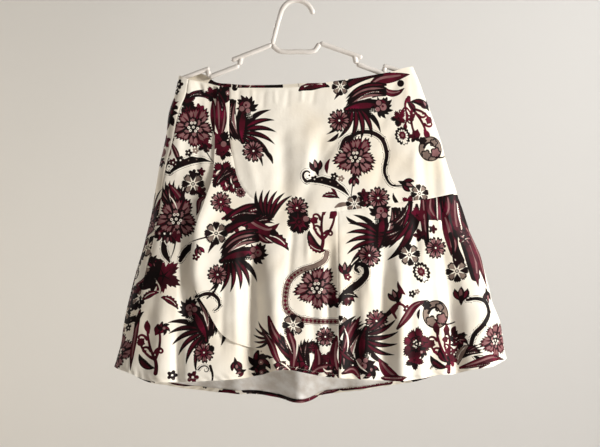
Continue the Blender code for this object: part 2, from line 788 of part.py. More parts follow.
def build_zip(finish):
    """The slider at the top of the centre-back seam, and the pull tab that hangs from it."""
    q = np.array([CENTRE_BACK_Q])
    z = float(waist_height(q)[0]) - SLIDER_BELOW_WAIST
    face = tube_point(q, np.array([z]))[0]
    out = float(fold_depth(q, np.array([z]))[0])
    width, thick, length = SLIDER_SIZE
    base = face[1] + out + SEAM_GAP
    clear, span = ARCH_INSIDE
    centre = Vector((face[0], base + thick + clear / 2, z))

    body = [
        (-width / 2, base - centre.y, -length / 2),
        (width / 2, base - centre.y, -length / 2),
        (width / 2, base - centre.y + thick, -length / 2),
        (-width / 2, base - centre.y + thick, -length / 2),
    ]
    slider = show("zip_slider", prism("zip_slider", [body], length, (0, 0, 1)), finish)
    slider.location = centre
    reach, half = clear / 2, span / 2
    foot = -reach - thick / 2
    arch = [
        (-ARCH_WIDTH / 2, foot, -half - ARCH_BAR),
        (-ARCH_WIDTH / 2, reach + ARCH_BAR / 2, -half - ARCH_BAR),
        (-ARCH_WIDTH / 2, reach + ARCH_BAR, -half - ARCH_BAR / 2),
        (-ARCH_WIDTH / 2, reach + ARCH_BAR, half + ARCH_BAR / 2),
        (-ARCH_WIDTH / 2, reach + ARCH_BAR / 2, half + ARCH_BAR),
        (-ARCH_WIDTH / 2, foot, half + ARCH_BAR),
        (-ARCH_WIDTH / 2, foot, half),
        (-ARCH_WIDTH / 2, reach, half),
        (-ARCH_WIDTH / 2, reach, -half),
        (-ARCH_WIDTH / 2, foot, -half),
    ]
    bow = bpy.data.objects.new("zip_arch", prism("zip_arch", [arch], ARCH_WIDTH, (1, 0, 0)))
    bow.hide_render = True
    bow.display_type = "WIRE"
    bow.location = centre
    bpy.context.scene.collection.objects.link(bow)
    join = slider.modifiers.new("arch", "BOOLEAN")
    join.operation = "UNION"
    join.object = bow

    top, bar = PULL_BAR / 2, -PULL_BAR / 2
    hole_w, hole_l = PULL_HOLE
    low = -PULL_LENGTH + PULL_LOW_WIDTH / 2
    rounds = [math.pi + i * math.pi / 10 for i in range(11)]
    outline = [(PULL_TOP_WIDTH / 2, bar, top), (-PULL_TOP_WIDTH / 2, bar, top)]
    half = PULL_LOW_WIDTH / 2
    outline += [(half * math.cos(a), bar, low + half * math.sin(a)) for a in rounds]
    corners = ((-1, bar), (-1, bar - hole_l), (1, bar - hole_l), (1, bar))
    hole = [(side * hole_w / 2, bar, height) for side, height in corners]
    pull = show("zip_pull", prism("zip_pull", [outline, hole], PULL_BAR, (0, 1, 0)), finish)
    pull.location = centre


def main():
    """Build the skirt, its hanger and its zip."""
    clear_scene()
    print_cloth = material("printed sateen", CREAM, 0.62)
    facing_cloth = material("printed facing", BURGUNDY, 0.68)
    plastic = material("white plastic", WHITE_PLASTIC, 0.25)
    metal = material("nickel", NICKEL, 0.35, 1.0)
    build_skirt(print_cloth, facing_cloth)
    build_hanger(plastic)
    build_zip(metal)


main()
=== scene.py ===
# %% [markdown]
# # A printed a-line skirt on its hanger
#
# This lesson dresses a frame of plain solids as a real garment: a cotton-sateen skirt with a curved
# front yoke, a flounce that laps over the left front, turned hems, and a moulded hanger. Every place
# is in metres, +Z up, +X to the wearer's left, +Y from the front of the skirt to its back.
#
# The frame comes first, because it carries each piece. Its box is kept, to compare sizes at the end.

# %% Load the frame
import math
from collections import namedtuple

import bmesh
import bpy
import numpy as np
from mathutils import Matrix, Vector, kdtree
from mathutils.geometry import delaunay_2d_cdt


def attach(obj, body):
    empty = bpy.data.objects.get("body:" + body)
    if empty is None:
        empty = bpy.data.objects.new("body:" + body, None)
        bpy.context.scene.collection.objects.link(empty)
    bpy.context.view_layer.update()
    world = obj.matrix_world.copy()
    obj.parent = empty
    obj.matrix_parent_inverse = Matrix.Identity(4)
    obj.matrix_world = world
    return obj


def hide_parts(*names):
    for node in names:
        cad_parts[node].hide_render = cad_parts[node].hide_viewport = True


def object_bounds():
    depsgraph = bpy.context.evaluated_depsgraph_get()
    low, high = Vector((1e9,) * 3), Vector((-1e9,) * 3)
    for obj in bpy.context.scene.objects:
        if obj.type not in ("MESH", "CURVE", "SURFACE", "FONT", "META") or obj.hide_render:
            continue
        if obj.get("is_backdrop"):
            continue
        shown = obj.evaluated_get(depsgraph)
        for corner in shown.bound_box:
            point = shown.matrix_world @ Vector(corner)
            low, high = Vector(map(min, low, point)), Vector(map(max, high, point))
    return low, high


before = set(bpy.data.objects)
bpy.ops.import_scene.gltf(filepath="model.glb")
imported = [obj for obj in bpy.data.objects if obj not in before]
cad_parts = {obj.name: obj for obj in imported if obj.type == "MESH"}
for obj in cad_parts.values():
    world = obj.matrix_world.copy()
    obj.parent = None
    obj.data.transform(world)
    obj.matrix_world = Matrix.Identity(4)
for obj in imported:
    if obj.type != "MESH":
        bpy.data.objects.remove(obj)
cad_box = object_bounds()
scene = bpy.context.scene
print("the frame holds", len(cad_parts), "solids")

# %% [markdown]
# ## Camera, floor and light
#
# The skirt is looked at squarely from 2 m, where its flat front shows without distortion. The lens is
# worked out from how wide a stretch should fill the view. The floor and the wall are far enough off
# for the camera to go round the skirt. A large soft lamp stands to the right, as a window would, and
# weaker ones on the other sides keep the folds and the back readable.

# %% Camera and stage
CAMERA_AWAY = 2.0
CAMERA_AIM = (0.0017, -0.386)  # x and z of what it looks at
VIEW_WIDTH = 1.05
SENSOR = 36.0  # millimetres
FLOOR_Z, WALL_Y, STAGE_SIZE = -1.7, 3.4, 16.0
SKIRT = (0.0, 0.0, -0.38)


def srgb(red, green, blue):
    """Turn a screen colour, 0 to 255, into the linear one that shaders use."""
    shares = (channel / 255 for channel in (red, green, blue))
    return tuple(c / 12.92 if c <= 0.04045 else ((c + 0.055) / 1.055) ** 2.4 for c in shares)


def place_camera():
    """A camera that looks straight at the skirt's front."""
    data = bpy.data.cameras.new("camera")
    data.sensor_width = SENSOR
    data.lens = SENSOR * CAMERA_AWAY / VIEW_WIDTH
    camera = bpy.data.objects.new("camera", data)
    camera.location = (CAMERA_AIM[0], -CAMERA_AWAY, CAMERA_AIM[1])
    camera.rotation_euler = (math.pi / 2, 0, 0)
    scene.collection.objects.link(camera)
    scene.camera = camera


def stage_sheet(name, centre, across, up, colour):
    """A flat square of the stage, which isn't part of the skirt."""
    signs = ((-1, -1), (1, -1), (1, 1), (-1, 1))
    corners = [Vector(centre) + Vector(across) * a + Vector(up) * b for a, b in signs]
    mesh = bpy.data.meshes.new(name)
    mesh.from_pydata(corners, [], [(0, 1, 2, 3)])
    paint = bpy.data.materials.new(name)
    paint.use_nodes = True
    shader = paint.node_tree.nodes["Principled BSDF"]
    shader.inputs["Base Color"].default_value = (*colour, 1)
    shader.inputs["Roughness"].default_value = 0.9
    mesh.materials.append(paint)
    sheet = bpy.data.objects.new(name, mesh)
    scene.collection.objects.link(sheet)
    sheet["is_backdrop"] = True


def lamp(name, place, aim, watts, size, colour):
    """A square soft lamp that faces its aim."""
    data = bpy.data.lights.new(name, "AREA")
    data.energy, data.size, data.color = watts, size, colour
    light = bpy.data.objects.new(name, data)
    light.location = place
    light.rotation_euler = (Vector(aim) - Vector(place)).to_track_quat("-Z", "Y").to_euler()
    scene.collection.objects.link(light)


place_camera()
stage_half = STAGE_SIZE / 2
stage_sheet("floor", (0, 0, FLOOR_Z), (stage_half, 0, 0), (0, stage_half, 0), srgb(226, 222, 217))
stage_sheet("wall", (0, WALL_Y, 0), (stage_half, 0, 0), (0, 0, stage_half / 2), srgb(226, 223, 219))
lamp("window", (2.60, -1.22, 0.35), SKIRT, 107, 0.6, (1.0, 0.98, 0.945))
lamp("room", (-1.0, -2.6, 0.8), SKIRT, 11.0, 2.0, (1.0, 0.93, 0.87))
lamp("bounce", (0.95, -0.55, -1.15), (0.0, 0.03, -0.67), 6.2, 0.35, (1.0, 0.985, 0.96))
lamp("behind", (-2.1, 0.95, 0.6), SKIRT, 19, 0.8, (1.0, 0.97, 0.94))
lamp("wall wash right", (2.6, 1.0, 1.2), (1.0, WALL_Y, -0.3), 46, 1.6, (0.95, 0.98, 1.0))
lamp("wall wash left", (-2.8, 1.0, -0.6), (-1.4, WALL_Y, 0.3), 26, 1.6, (1.0, 0.925, 0.76))

world = bpy.data.worlds.new("room light")
world.use_nodes = True
background = world.node_tree.nodes["Background"]
background.inputs["Color"].default_value = (*srgb(240, 231, 225), 1)
background.inputs["Strength"].default_value = 0.12
scene.world = world
scene.view_settings.view_transform = "Standard"
print("camera lens", round(scene.camera.data.lens, 1), "mm")

# %% [markdown]
# ## The flattened tube
#
# Hung on a hanger, the skirt is a tube pressed nearly flat. A place on it is (q, z): q runs from -1 at
# the left edge over the front to 1 at the right edge and on over the back to 3. The sections below are
# the frame's own: the two edges, how far front and back stand off the middle, and how tight the cloth
# turns. Working from the same rows keeps the fine cloth exactly on its solids. Tables are in millimetres.

# %% Sections of the tube
Section = namedtuple("Section", "z left right front back turn")


def table(kind, *rows):
    """Rows of one kind that are written in millimetres, kept in metres."""
    return [kind(*(number / 1000 for number in row)) for row in rows]


SECTIONS = table(
    Section,
    (-100, -204, 194.5, 8.5, 8.5, 6.5),
    (-128, -210, 206.3, 8.6, 8.5, 6.5),
    (-160, -217, 218.7, 9.5, 9, 6.6),
    (-190, -227, 229.8, 11.2, 10, 7),
    (-230, -232.5, 244.3, 14, 12, 7.5),
    (-288, -244.7, 261.2, 18.5, 15.2, 8),
    (-345, -253.8, 280.5, 23.5, 19, 8.5),
    (-395, -264.3, 296.6, 28, 22.2, 9),
    (-450, -278.3, 316.5, 33, 25.8, 10),
    (-485, -287, 324.5, 36, 28.2, 10.5),
    (-520, -296, 337, 39, 30.8, 11),
    (-556, -305.6, 350.8, 42, 33.2, 11.8),
    (-598, -312, 357.6, 45, 35.8, 12.6),
    (-640, -324, 365, 47.8, 38, 13.4),
    (-705, -340, 376, 51.5, 40.5, 14),
)
ROUND_TURN = 4.0  # q for one way round the tube
SLOPE_STEP = 0.0005  # over which a slope is measured
EDGE_POWER = 9  # how late a row of even q slows down before an edge
RIGHT_SEAM_Q, CENTRE_BACK_Q = 1.05, 2.0
RIGHT_EDGE_Q, LEFT_EDGE_Q = 1.0, 3.0  # where the back starts and where it ends


def smooth(xs, ys, x):
    """Read a cubic that runs through the points, its slopes taken from their neighbours."""
    xs, ys = np.asarray(xs, float), np.asarray(ys, float)
    slopes = np.gradient(ys, xs)
    x = np.clip(x, xs[0], xs[-1])
    i = np.clip(np.searchsorted(xs, x) - 1, 0, len(xs) - 2)
    gap = xs[i + 1] - xs[i]
    t = (x - xs[i]) / gap
    from_left = (1 - t) ** 2 * ((1 + 2 * t) * ys[i] + t * gap * slopes[i])
    from_right = t**2 * ((3 - 2 * t) * ys[i + 1] + (t - 1) * gap * slopes[i + 1])
    return from_left + from_right


def ease(t):
    """Rise smoothly from 0 to 1 as t does."""
    t = np.clip(t, 0.0, 1.0)
    return t * t * (3 - 2 * t)


def section(column, z):
    """One measure of the tube at a height."""
    rows = SECTIONS[::-1]
    return smooth([row.z for row in rows], [getattr(row, column) for row in rows], z)


def unrolled(q):
    """Tell whether q is on the back, and give its place from -1 (left edge) to 1 (right edge)."""
    q = (np.asarray(q, float) + 1) % ROUND_TURN - 1
    behind = q > 1
    return behind, np.where(behind, 2 - q, q)


def share_of_width(place):
    """Turn a place from -1 to 1 into a share of the half width, slowing down at the edges."""
    return place + (place - place**EDGE_POWER) / (EDGE_POWER - 1)


def tube_point(q, z):
    """A place of the tube, in metres."""
    behind, place = unrolled(q)
    share = share_of_width(place)
    left, right = section("left", z), section("right", z)
    front, back = section("front", z), section("back", z)
    half = (right - left) / 2
    squareness = 2 * half * section("turn", z) / ((front + back) / 2) ** 2
    stand = np.sqrt(np.clip(1 - np.abs(share) ** squareness, 0, None))
    x = (left + right) / 2 + half * share
    return np.stack([x, np.where(behind, back, -front) * stand, z + 0 * x], axis=-1)


def tube_normal(q, z):
    """Outward normal of the tube, and metres for each q."""
    step = SLOPE_STEP
    round_it = (tube_point(q + step, z) - tube_point(q - step, z)) / (2 * step)
    upward = (tube_point(q, z + step) - tube_point(q, z - step)) / (2 * step)
    normal = np.cross(round_it, upward)
    return normal / np.linalg.norm(normal, axis=-1, keepdims=True), np.linalg.norm(round_it, axis=-1)


middle = tube_point(np.array([0.0, 1.0]), np.array([-0.4, -0.4]))
print("at the hip the front stands at y", middle[0, 1].round(4), "and the edge at x", middle[1, 0].round(4))

# %% [markdown]
# ## Folds and creases
#
# Cloth that hangs from a hanger falls in troughs and ridges, no two alike. They could come from a
# cloth simulation, but then they would not lie where this skirt's folds lie. Instead each is a row:
# where it starts and ends, how wide it is and how deep. The first rows of each table are the frame's
# large folds. The finer ones after them are only here: drag lines, puckers under the waist, and small
# breaks in the flounces.

# %% Folds of the front and the back
Fold = namedtuple("Fold", "x_top z_top x_low z_low width depth")
FRONT_FOLDS = table(
    Fold,
    # soft drag lines in the yoke
    (-28, -190, -26, -385, 15, -4.2),
    (55, -200, -4, -385, 13, -3.6),
    (20, -200, 12, -360, 13, 2.5),
    (231, -235, 237, -375, 13, -5),
    # left front
    (-188, -330, -196, -600, 12, -8),
    (-228, -400, -246, -760, 17, 6.5),
    (-213, -520, -206, -760, 10, -6),
    # centre flounce
    (-78, -350, -74, -740, 13, -16),
    (-44, -370, -36, -900, 16, 10.5),
    (54, -390, 53, -620, 10, -6.5),
    (70, -370, 69, -800, 10, 4.5),
    # right flounce
    (95, -410, 93, -680, 12, -6.5),
    (149, -385, 145, -690, 14, -9.5),
    (173, -385, 178, -760, 14, 7.5),
    (234, -395, 228, -700, 18, -5.5),
    (258, -400, 281, -760, 15, -15),
    (307, -380, 328, -780, 21, 7.5),
)
BACK_FOLDS = table(
    Fold,
    # the middle of the back swings forward under the hem
    (-3, -330, -4, -1100, 30, -30),
    # troughs and ridges that hang from the hips
    (-245, -400, -258, -850, 17, -6),
    (-165, -330, -184, -900, 22, 8),
    (-103, -370, -112, -880, 18, -9),
    (106, -350, 120, -900, 20, -9.5),
    (170, -370, 194, -860, 22, 8),
    (245, -390, 272, -820, 18, -8),
    # soft drag lines below the waist
    (-70, -170, -52, -380, 16, -3),
    (96, -165, 72, -360, 15, -3),
)
FRONT_CREASES = table(
    Fold,
    (-98, -400, -96, -740, 14, -5),
    (246, -400, 262, -610, 9, -4.5),
    (214, -250, 222, -365, 9.5, -3),
    # puckers under the waist, where the facing holds the cloth
    (-104, -148, -106, -186, 4.5, -0.8),
    (-81, -149, -80, -180, 3.5, 0.7),
    (-60, -150, -64, -192, 5, -0.8),
    (-42, -150, -41, -182, 3.5, 0.6),
    (-18, -149, -22, -188, 5, -0.8),
    (6, -147, 4, -178, 4, 0.7),
    (29, -143, 22, -185, 5, -0.7),
    (83, -135, 80, -172, 4.5, -0.6),
    (128, -128, 122, -170, 5, 0.6),
    # drag lines from the hanger's ends
    (-196, -128, -170, -215, 6, 1.2),
    (-178, -134, -160, -180, 5, -1.2),
    (-166, -136, -163, -190, 4, 0.9),
    (176, -118, 140, -230, 8, -1.2),
    (190, -116, 186, -260, 7, 1.1),
    # slanting breaks across the yoke
    (75, -222, 12, -330, 9, -1.5),
    (165, -215, 130, -345, 11, -1.6),
    (203, -240, 196, -355, 9, 1.4),
    (-98, -230, -70, -345, 9, 1.2),
    # breaks that run down from the yoke seam
    (-8, -372, -20, -500, 6.5, -2.2),
    (16, -372, 14, -460, 5.5, 1.6),
    (118, -362, 121, -520, 7, 2.4),
    (200, -352, 206, -490, 7.5, -2.6),
    (220, -348, 227, -430, 4.5, 1.8),
    (246, -344, 249, -400, 3.5, -2.2),
    (254, -343, 262, -410, 3.5, 1.6),
    # small breaks in the hanging part
    (-112, -400, -104, -640, 8.5, 2.8),
    (-128, -440, -134, -620, 7, -1.8),
    (22, -470, 30, -720, 9.5, -3),
    (110, -520, 118, -740, 9, 2.6),
    (203, -480, 213, -740, 11, 3.4),
    (332, -430, 349, -700, 8, -2.4),
    (-252, -300, -262, -470, 8, -1.6),
    (-204, -190, -214, -330, 8, 1.6),
    (-175, -220, -178, -330, 7, -1.6),
)
BACK_CREASES = table(
    Fold,
    (4, -540, 4, -860, 19, -9.5),
    (-31, -560, -32, -840, 9, 4),
    (-150, -136, -154, -185, 5, -0.8),
    (-98, -142, -94, -186, 4.5, 0.7),
    (-40, -143, -43, -190, 5, -0.8),
    (36, -140, 38, -184, 4.5, -0.8),
    (88, -134, 84, -182, 4.5, 0.7),
    (150, -126, 146, -180, 5, -0.7),
    (-180, -130, -140, -240, 8, -1.2),
    (182, -120, 148, -235, 8, -1.2),
    (-10, -170, -28, -330, 9, -1.4),
    (14, -180, 34, -340, 9, -1.4),
    (-130, -250, -140, -420, 11, 2),
    (140, -240, 150, -430, 11, 2),
    (-60, -340, -66, -640, 11, 3.4),
    (58, -360, 66, -700, 11, 3.4),
    (-210, -420, -226, -720, 10, -2.8),
    (214, -440, 234, -740, 10, -2.8),
    (-285, -430, -300, -700, 9, 2.2),
    (300, -420, 322, -700, 9, 2.2),
)
FOLD_RISE, FOLD_FALL = 0.40, 0.30  # shares of a fold's length over which it deepens and fades
CREASE_RISE = 0.25


def fold_depth(q, z):
    """How far the folds and creases move the cloth out of the tube."""
    behind, _ = unrolled(q)
    x = tube_point(q, z)[..., 0]
    total = np.zeros_like(x)
    for folds, side, rise in (
        (FRONT_FOLDS, ~behind, FOLD_RISE),
        (BACK_FOLDS, behind, FOLD_RISE),
        (FRONT_CREASES, ~behind, CREASE_RISE),
        (BACK_CREASES, behind, CREASE_RISE),
    ):
        for fold in folds:
            along = (fold.z_top - z) / (fold.z_top - fold.z_low)
            centre = fold.x_top + (fold.x_low - fold.x_top) * along
            strength = ease(along / rise) * ease((1 - along) / FOLD_FALL)
            total += side * fold.depth * strength * np.exp(-(((x - centre) / fold.width) ** 2))
    return total


print(len(FRONT_FOLDS) + len(BACK_FOLDS), "folds and", len(FRONT_CREASES) + len(BACK_CREASES), "creases")

# %% [markdown]
# ## Seams and edges
#
# A pattern cutter draws each piece as a closed outline. Here an outline is made of runs: the waist, the
# hem, the side seams, the curved yoke seam, the flounce's free edge. Two pieces that are sewn together
# share the run between them, so that no gap shows. The rows are heights over x, or points (x, z).

# %% Edge tables
WAIST_LEVEL, HEM_LEVEL = -0.14, -0.65  # about where the edges lie


def metres(*places):
    """Places (x, z) that are written in millimetres, kept in metres."""
    return np.array(places) / 1000


FRONT_WAIST = metres(
    (-208, -127.9), (-193, -134.5), (-173, -138.4), (-154, -142.3), (-138, -146.8), (-121, -148.9),
    (-77, -149.6), (-37, -149.6), (-9, -148.9), (18, -145.2), (54, -139.1), (105, -131.4),
    (140, -125.2), (165, -120.6), (180, -115.7), (198, -112.2),
)
BACK_WAIST = metres(
    (-208, -127.9), (-192, -126.5), (-177, -122.2), (-163, -126.2), (-149, -135.8), (-121, -140.2),
    (-42, -141.9), (10, -139.2), (54, -138.2), (105, -132.6), (140, -126.4), (165, -121.8),
    (180, -116.9), (198, -112.2),
)
FRONT_HEM = metres(
    (-323, -636), (-297, -642.7), (-264, -654.7), (-231, -657.7), (-147, -654.7), (-101, -651.7),
    (-66, -645.7), (-38, -636.6), (-12, -637), (12, -641.7), (37, -646.7), (68, -649.7), (133, -653.7),
    (177, -654.7), (210, -650.7), (247, -644.5), (266, -645), (297, -637), (338, -630.5), (362, -621.7),
)
BACK_HEM = metres(
    (-323, -636), (-300, -649), (-278, -663), (-238, -672.7), (-180, -683.7), (-129, -687.7),
    (-68, -690.7), (-36, -695.5), (-5, -698.5), (24, -697), (42, -691), (68, -687.7), (117, -680.7),
    (166, -674.7), (203, -669), (241, -656), (280, -642), (330, -630), (362, -621.7),
)
LEFT_SEAM = metres(
    (-193, -134.5), (-198, -162.9), (-208, -187.4), (-220.5, -245.2), (-232, -288.9), (-241.5, -353.7),
    (-262, -450), (-282, -546.2), (-297.5, -642.5),
)
YOKE_SEAM = metres(
    (-121, -148.9), (-121, -187.4), (-121.5, -225.9), (-114, -274.9), (-103, -315.2), (-84, -340),
    (-66, -350.8), (-30, -361), (15.8, -367), (54.2, -365), (94.5, -361.5), (173.3, -349.3),
    (222.3, -343.2), (253.8, -337.1), (273, -333),
)
FREE_EDGE = metres(
    (-143.5, -145.5), (-145, -187.4), (-146.1, -224.2), (-147, -266.2), (-150, -306.4), (-163, -348.4),
    (-175, -383.4), (-183.7, -418.4), (-187.5, -453.4), (-184, -486.7), (-171.5, -512), (-156.5, -536),
    (-146, -556), (-134, -574), (-117.3, -586.4), (-91, -596.1), (-68, -604), (-50, -618),
    (-38, -636.6),
)
UPRIGHT_SEAM = metres((66.5, -364.5), (67.4, -502.4), (68, -649.7))
HIDDEN_EDGE = metres(
    (-103, -315.2), (-89.2, -414.9), (-64.8, -516.4), (-30, -598.7), (-6, -638.5),
)

# %% Runs along the seams
PLAN_WIDTH = 0.30  # metres for each q, where outlines are filled
FINE = 0.00135  # between the points of printed cloth on the front
Q_SAMPLES = 4001  # of the front's width, when q is looked up
EDGE_ROUNDS = 6  # of correcting an edge's height for its x
SEAM_STEP = 0.013  # between the points of the side seam that the left front sinks from


def run_along(points):
    """How far along a line each of its points lies."""
    return np.concatenate([[0], np.cumsum(np.linalg.norm(np.diff(points, axis=0), axis=1))])


def curve(points, step):
    """Points at even steps along a smooth curve through some places."""
    points = np.array(points, float)
    run = run_along(points)
    marks = np.linspace(0, run[-1], max(2, round(run[-1] / step) + 1))
    return np.stack([smooth(run, points[:, axis], marks) for axis in (0, 1)], axis=-1)


def on_front(points):
    """Turn (x, z) on the front into (q, z)."""
    x, z = points[:, 0], points[:, 1]
    left, right = section("left", z), section("right", z)
    share = np.clip((x - (left + right) / 2) / ((right - left) / 2), -1, 1)
    samples = np.linspace(-1, 1, Q_SAMPLES)
    return np.stack([np.interp(share, share_of_width(samples), samples), z], axis=-1)


def edge_height(q, front, back, level):
    """Height of an edge at q, from its tables over x. level is about where it lies."""
    behind, _ = unrolled(q)
    height = np.full_like(q, level)
    for _ in range(EDGE_ROUNDS):
        x = tube_point(q, height)[..., 0]
        height = np.where(behind, smooth(*back.T, x), smooth(*front.T, x))
    return height


def waist_height(q):
    """Height of the waist edge at q."""
    return edge_height(q, FRONT_WAIST, BACK_WAIST, WAIST_LEVEL)


def hem_height(q):
    """Height of the hem at q."""
    return edge_height(q, FRONT_HEM, BACK_HEM, HEM_LEVEL)


def level_run(start, stop, height, step=FINE):
    """Points along the waist or the hem, from one q to another."""
    q = np.linspace(start, stop, round(abs(stop - start) * PLAN_WIDTH / step) + 2)
    return np.stack([q, height(q)], axis=-1)


def waist(start, stop):
    """Points along the waist edge."""
    return level_run(start, stop, waist_height)


def hem(start, stop):
    """Points along the hem."""
    return level_run(start, stop, hem_height)


def down(q, z_top, z_low, step=FINE):
    """Points straight down the cloth at one q."""
    heights = np.linspace(z_top, z_low, max(2, round((z_top - z_low) / step) + 1))
    return np.stack([np.full_like(heights, q), heights], axis=-1)


def joined(*runs):
    """One closed outline from runs that meet end to start."""
    return np.concatenate([run[:-1] for run in runs])


def plan(points):
    """Put (q, z) on one scale, for measuring and filling."""
    return points * np.array([PLAN_WIDTH, 1.0])


left_seam, yoke, free_edge, upright, hidden = (
    on_front(curve(points, FINE)) for points in (LEFT_SEAM, YOKE_SEAM, FREE_EDGE, UPRIGHT_SEAM, HIDDEN_EDGE)
)
for line in (left_seam, yoke, free_edge):
    line[0, 1] = waist_height(line[0, 0])
for line in (left_seam, free_edge, upright, hidden):
    line[-1, 1] = hem_height(line[-1, 0])
crossing = int(np.argmin(np.hypot(*(plan(yoke) - plan(upright[:1])).T)))
upright[0] = yoke[crossing]
parting = int(np.argmin(np.hypot(*(plan(yoke) - plan(hidden[:1])).T)))
hidden[0] = yoke[parting]
yoke[-1, 0] = RIGHT_SEAM_Q
right_upper = down(RIGHT_SEAM_Q, waist_height(RIGHT_SEAM_Q), yoke[-1, 1])
right_lower = down(RIGHT_SEAM_Q, yoke[-1, 1], hem_height(RIGHT_SEAM_Q))
centre_back = down(CENTRE_BACK_Q, waist_height(CENTRE_BACK_Q), hem_height(CENTRE_BACK_Q))
left_from_back = left_seam + np.array([ROUND_TURN, 0.0])
print("the yoke seam has", len(yoke), "points and the free edge", len(free_edge))

# %% [markdown]
# ## Layers
#
# The left front runs on under the flounce, so it sinks one layer of cloth where it is lapped. The
# flounce's free edge stands forward over the middle of its length, where it catches the light. These
# are the frame's own layers too.

# %% Layers and lifts
SOLID_WALL, CLEAR = 0.0016, 0.0003
LAYER = SOLID_WALL + CLEAR
LAP_LIFT, LAP_REACH, LAP_STEP = 0.0100, 0.022, 0.004
LAP_TOP, LAP_LOW, LAP_EASE = -0.265, -0.560, 0.11
LAP_UNDER, LAP_SLACK, LAP_SLOPE = 0.030, 0.0010, 0.25


def flush(q, z):
    """A panel that lies in the tube's own surface."""
    return np.zeros_like(q)


def under_lap(q, z):
    """The left front: flush at its side seam, one layer in where the flounce laps over it."""
    x = tube_point(q, z)[..., 0]
    seam = curve(LEFT_SEAM, SEAM_STEP)
    start = np.interp(-z, -seam[:, 1], seam[:, 0])
    behind = LAYER + LAP_SLACK + LAP_SLOPE * np.abs(fold_depth(q, z))
    return -behind * ease((x - start) / LAP_UNDER)


def lap_lift(q, z):
    """The centre flounce: its free edge stands forward over the middle of its length."""
    x = tube_point(q, z)[..., 0]
    away = np.full(x.shape, np.inf)
    for px, pz in curve(FREE_EDGE, LAP_STEP):
        away = np.minimum(away, np.hypot(x - px, z - pz))
    strength = ease((LAP_TOP - z) / LAP_EASE) * ease((z - LAP_LOW) / LAP_EASE)
    return LAP_LIFT * strength * np.exp(-((away / LAP_REACH) ** 2))


# %% [markdown]
# ## Filling an outline with cloth
#
# Cloth needs an even mesh that follows its curved edges exactly. A grid would leave stairs at the
# seams, and a triangulated outline alone has long thin triangles. So even points are laid inside the
# outline in staggered rows, and a constrained Delaunay triangulation joins them to the edge. The
# panel then gets its thickness: an outer and an inner layer, and a rim between them.

# %% Fill an outline
ROW = math.sqrt(3) / 2  # between staggered rows, for each step along them
CLEAR_OF_EDGE = 0.55  # share of a step that inside points keep from the edge
SAME_PLACE = 1e-7  # within which two points are one


def read_along(marks, run, values):
    """Read points, or directions, at some distances along their line."""
    return np.stack([np.interp(marks, run, column) for column in values.T], axis=-1)


def search_tree(places):
    """A search tree of flat places."""
    tree = kdtree.KDTree(len(places))
    for i, place in enumerate(places):
        tree.insert((*place, 0), i)
    tree.balance()
    return tree


def edge_tree(outline, step):
    """A search tree of an outline's points, closed and at even steps."""
    closed = np.concatenate([outline, outline[:1]])
    run = run_along(closed)
    return search_tree(read_along(np.arange(0, run[-1], step), run, closed))


def away_from(tree, points):
    """How far each point lies from a tree's nearest one."""
    return np.array([tree.find((x, z, 0))[2] for x, z in points])


def fill(outline, spacing):
    """Even points inside a closed outline, after its own, and the triangles that join them all."""
    a, b = outline, np.roll(outline, -1, axis=0)
    rows = []
    for number, z in enumerate(np.arange(outline[:, 1].min(), outline[:, 1].max(), spacing * ROW)):
        cut = (a[:, 1] > z) != (b[:, 1] > z)
        cuts = np.sort(a[cut, 0] + (z - a[cut, 1]) / (b[cut, 1] - a[cut, 1]) * (b[cut, 0] - a[cut, 0]))
        for start, stop in zip(cuts[::2], cuts[1::2]):
            x = (np.arange(math.ceil(start / spacing), stop / spacing) + number % 2 / 2) * spacing
            rows.append(np.stack([x[x < stop], np.full((x < stop).sum(), z)], axis=-1))
    inside = np.concatenate(rows)
    inside = inside[away_from(edge_tree(outline, spacing / 3), inside) > CLEAR_OF_EDGE * spacing]
    points = [Vector(p) for p in np.concatenate([outline, inside])]
    rim = [(i, (i + 1) % len(outline)) for i in range(len(outline))]
    filled, _, faces, origins, *_ = delaunay_2d_cdt(points, rim, [], 1, SAME_PLACE)
    order = np.array([origin[0] for origin in origins])
    sort = np.argsort(order)
    place = np.empty(len(order), int)
    place[sort] = np.arange(len(order))
    faces = place[np.array(faces)]
    return np.array([tuple(filled[i]) for i in sort]), faces


print("the points of printed cloth lie", FINE * 1000, "mm apart")

# %% Measure along the cloth
WALL = 0.0009
COARSE = 0.0045  # between the points of the cloth's plain inner layer
HEM_TURN = 0.0065
HEM_GAP = 0.0001
SEAM_DITCH, DITCH_WIDTH = -0.0007, 0.0020
PUCKER, PUCKER_REACH, PUCKER_LENGTH = 0.00014, 0.0085, 0.0175
HEM_ROPE, ROPE_REACH, ROPE_LENGTH = 0.00045, 0.0100, 0.0150
# Waves that make others uneven: how far they shift them and how fast they run
PUCKER_DRIFT = ((2.1, 71), (1.3, 157))
ROPE_DRIFT = ((1.9, 43),)
Seams = namedtuple("Seams", "tree runs")


def seam_tree(lines):
    """A search tree of some seams' points, with how far along its seam each one lies."""
    flats = [plan(line) for line in lines]
    runs = [run_along(flat) for flat in flats]
    return Seams(search_tree(np.concatenate(flats)), np.concatenate(runs))


def near(seams, flat):
    """How far each point lies from the nearest seam, and how far along that seam."""
    hits = [seams.tree.find((x, z, 0)) for x, z in flat]
    return np.array([hit[2] for hit in hits]), seams.runs[[hit[1] for hit in hits]]


def drift(run, waves):
    """How far the waves of a seam have slid along it."""
    return sum(share * np.sin(run * pace) for share, pace in waves)


def sewn(away, run):
    """A seam's ditch, and the uneven puckers that its thread pulls up beside it."""
    ditch = SEAM_DITCH * np.exp(-((away / DITCH_WIDTH) ** 2))
    wave = np.sin(2 * math.pi * run / PUCKER_LENGTH + drift(run, PUCKER_DRIFT))
    return ditch + PUCKER * wave * np.exp(-((away / PUCKER_REACH) ** 2))


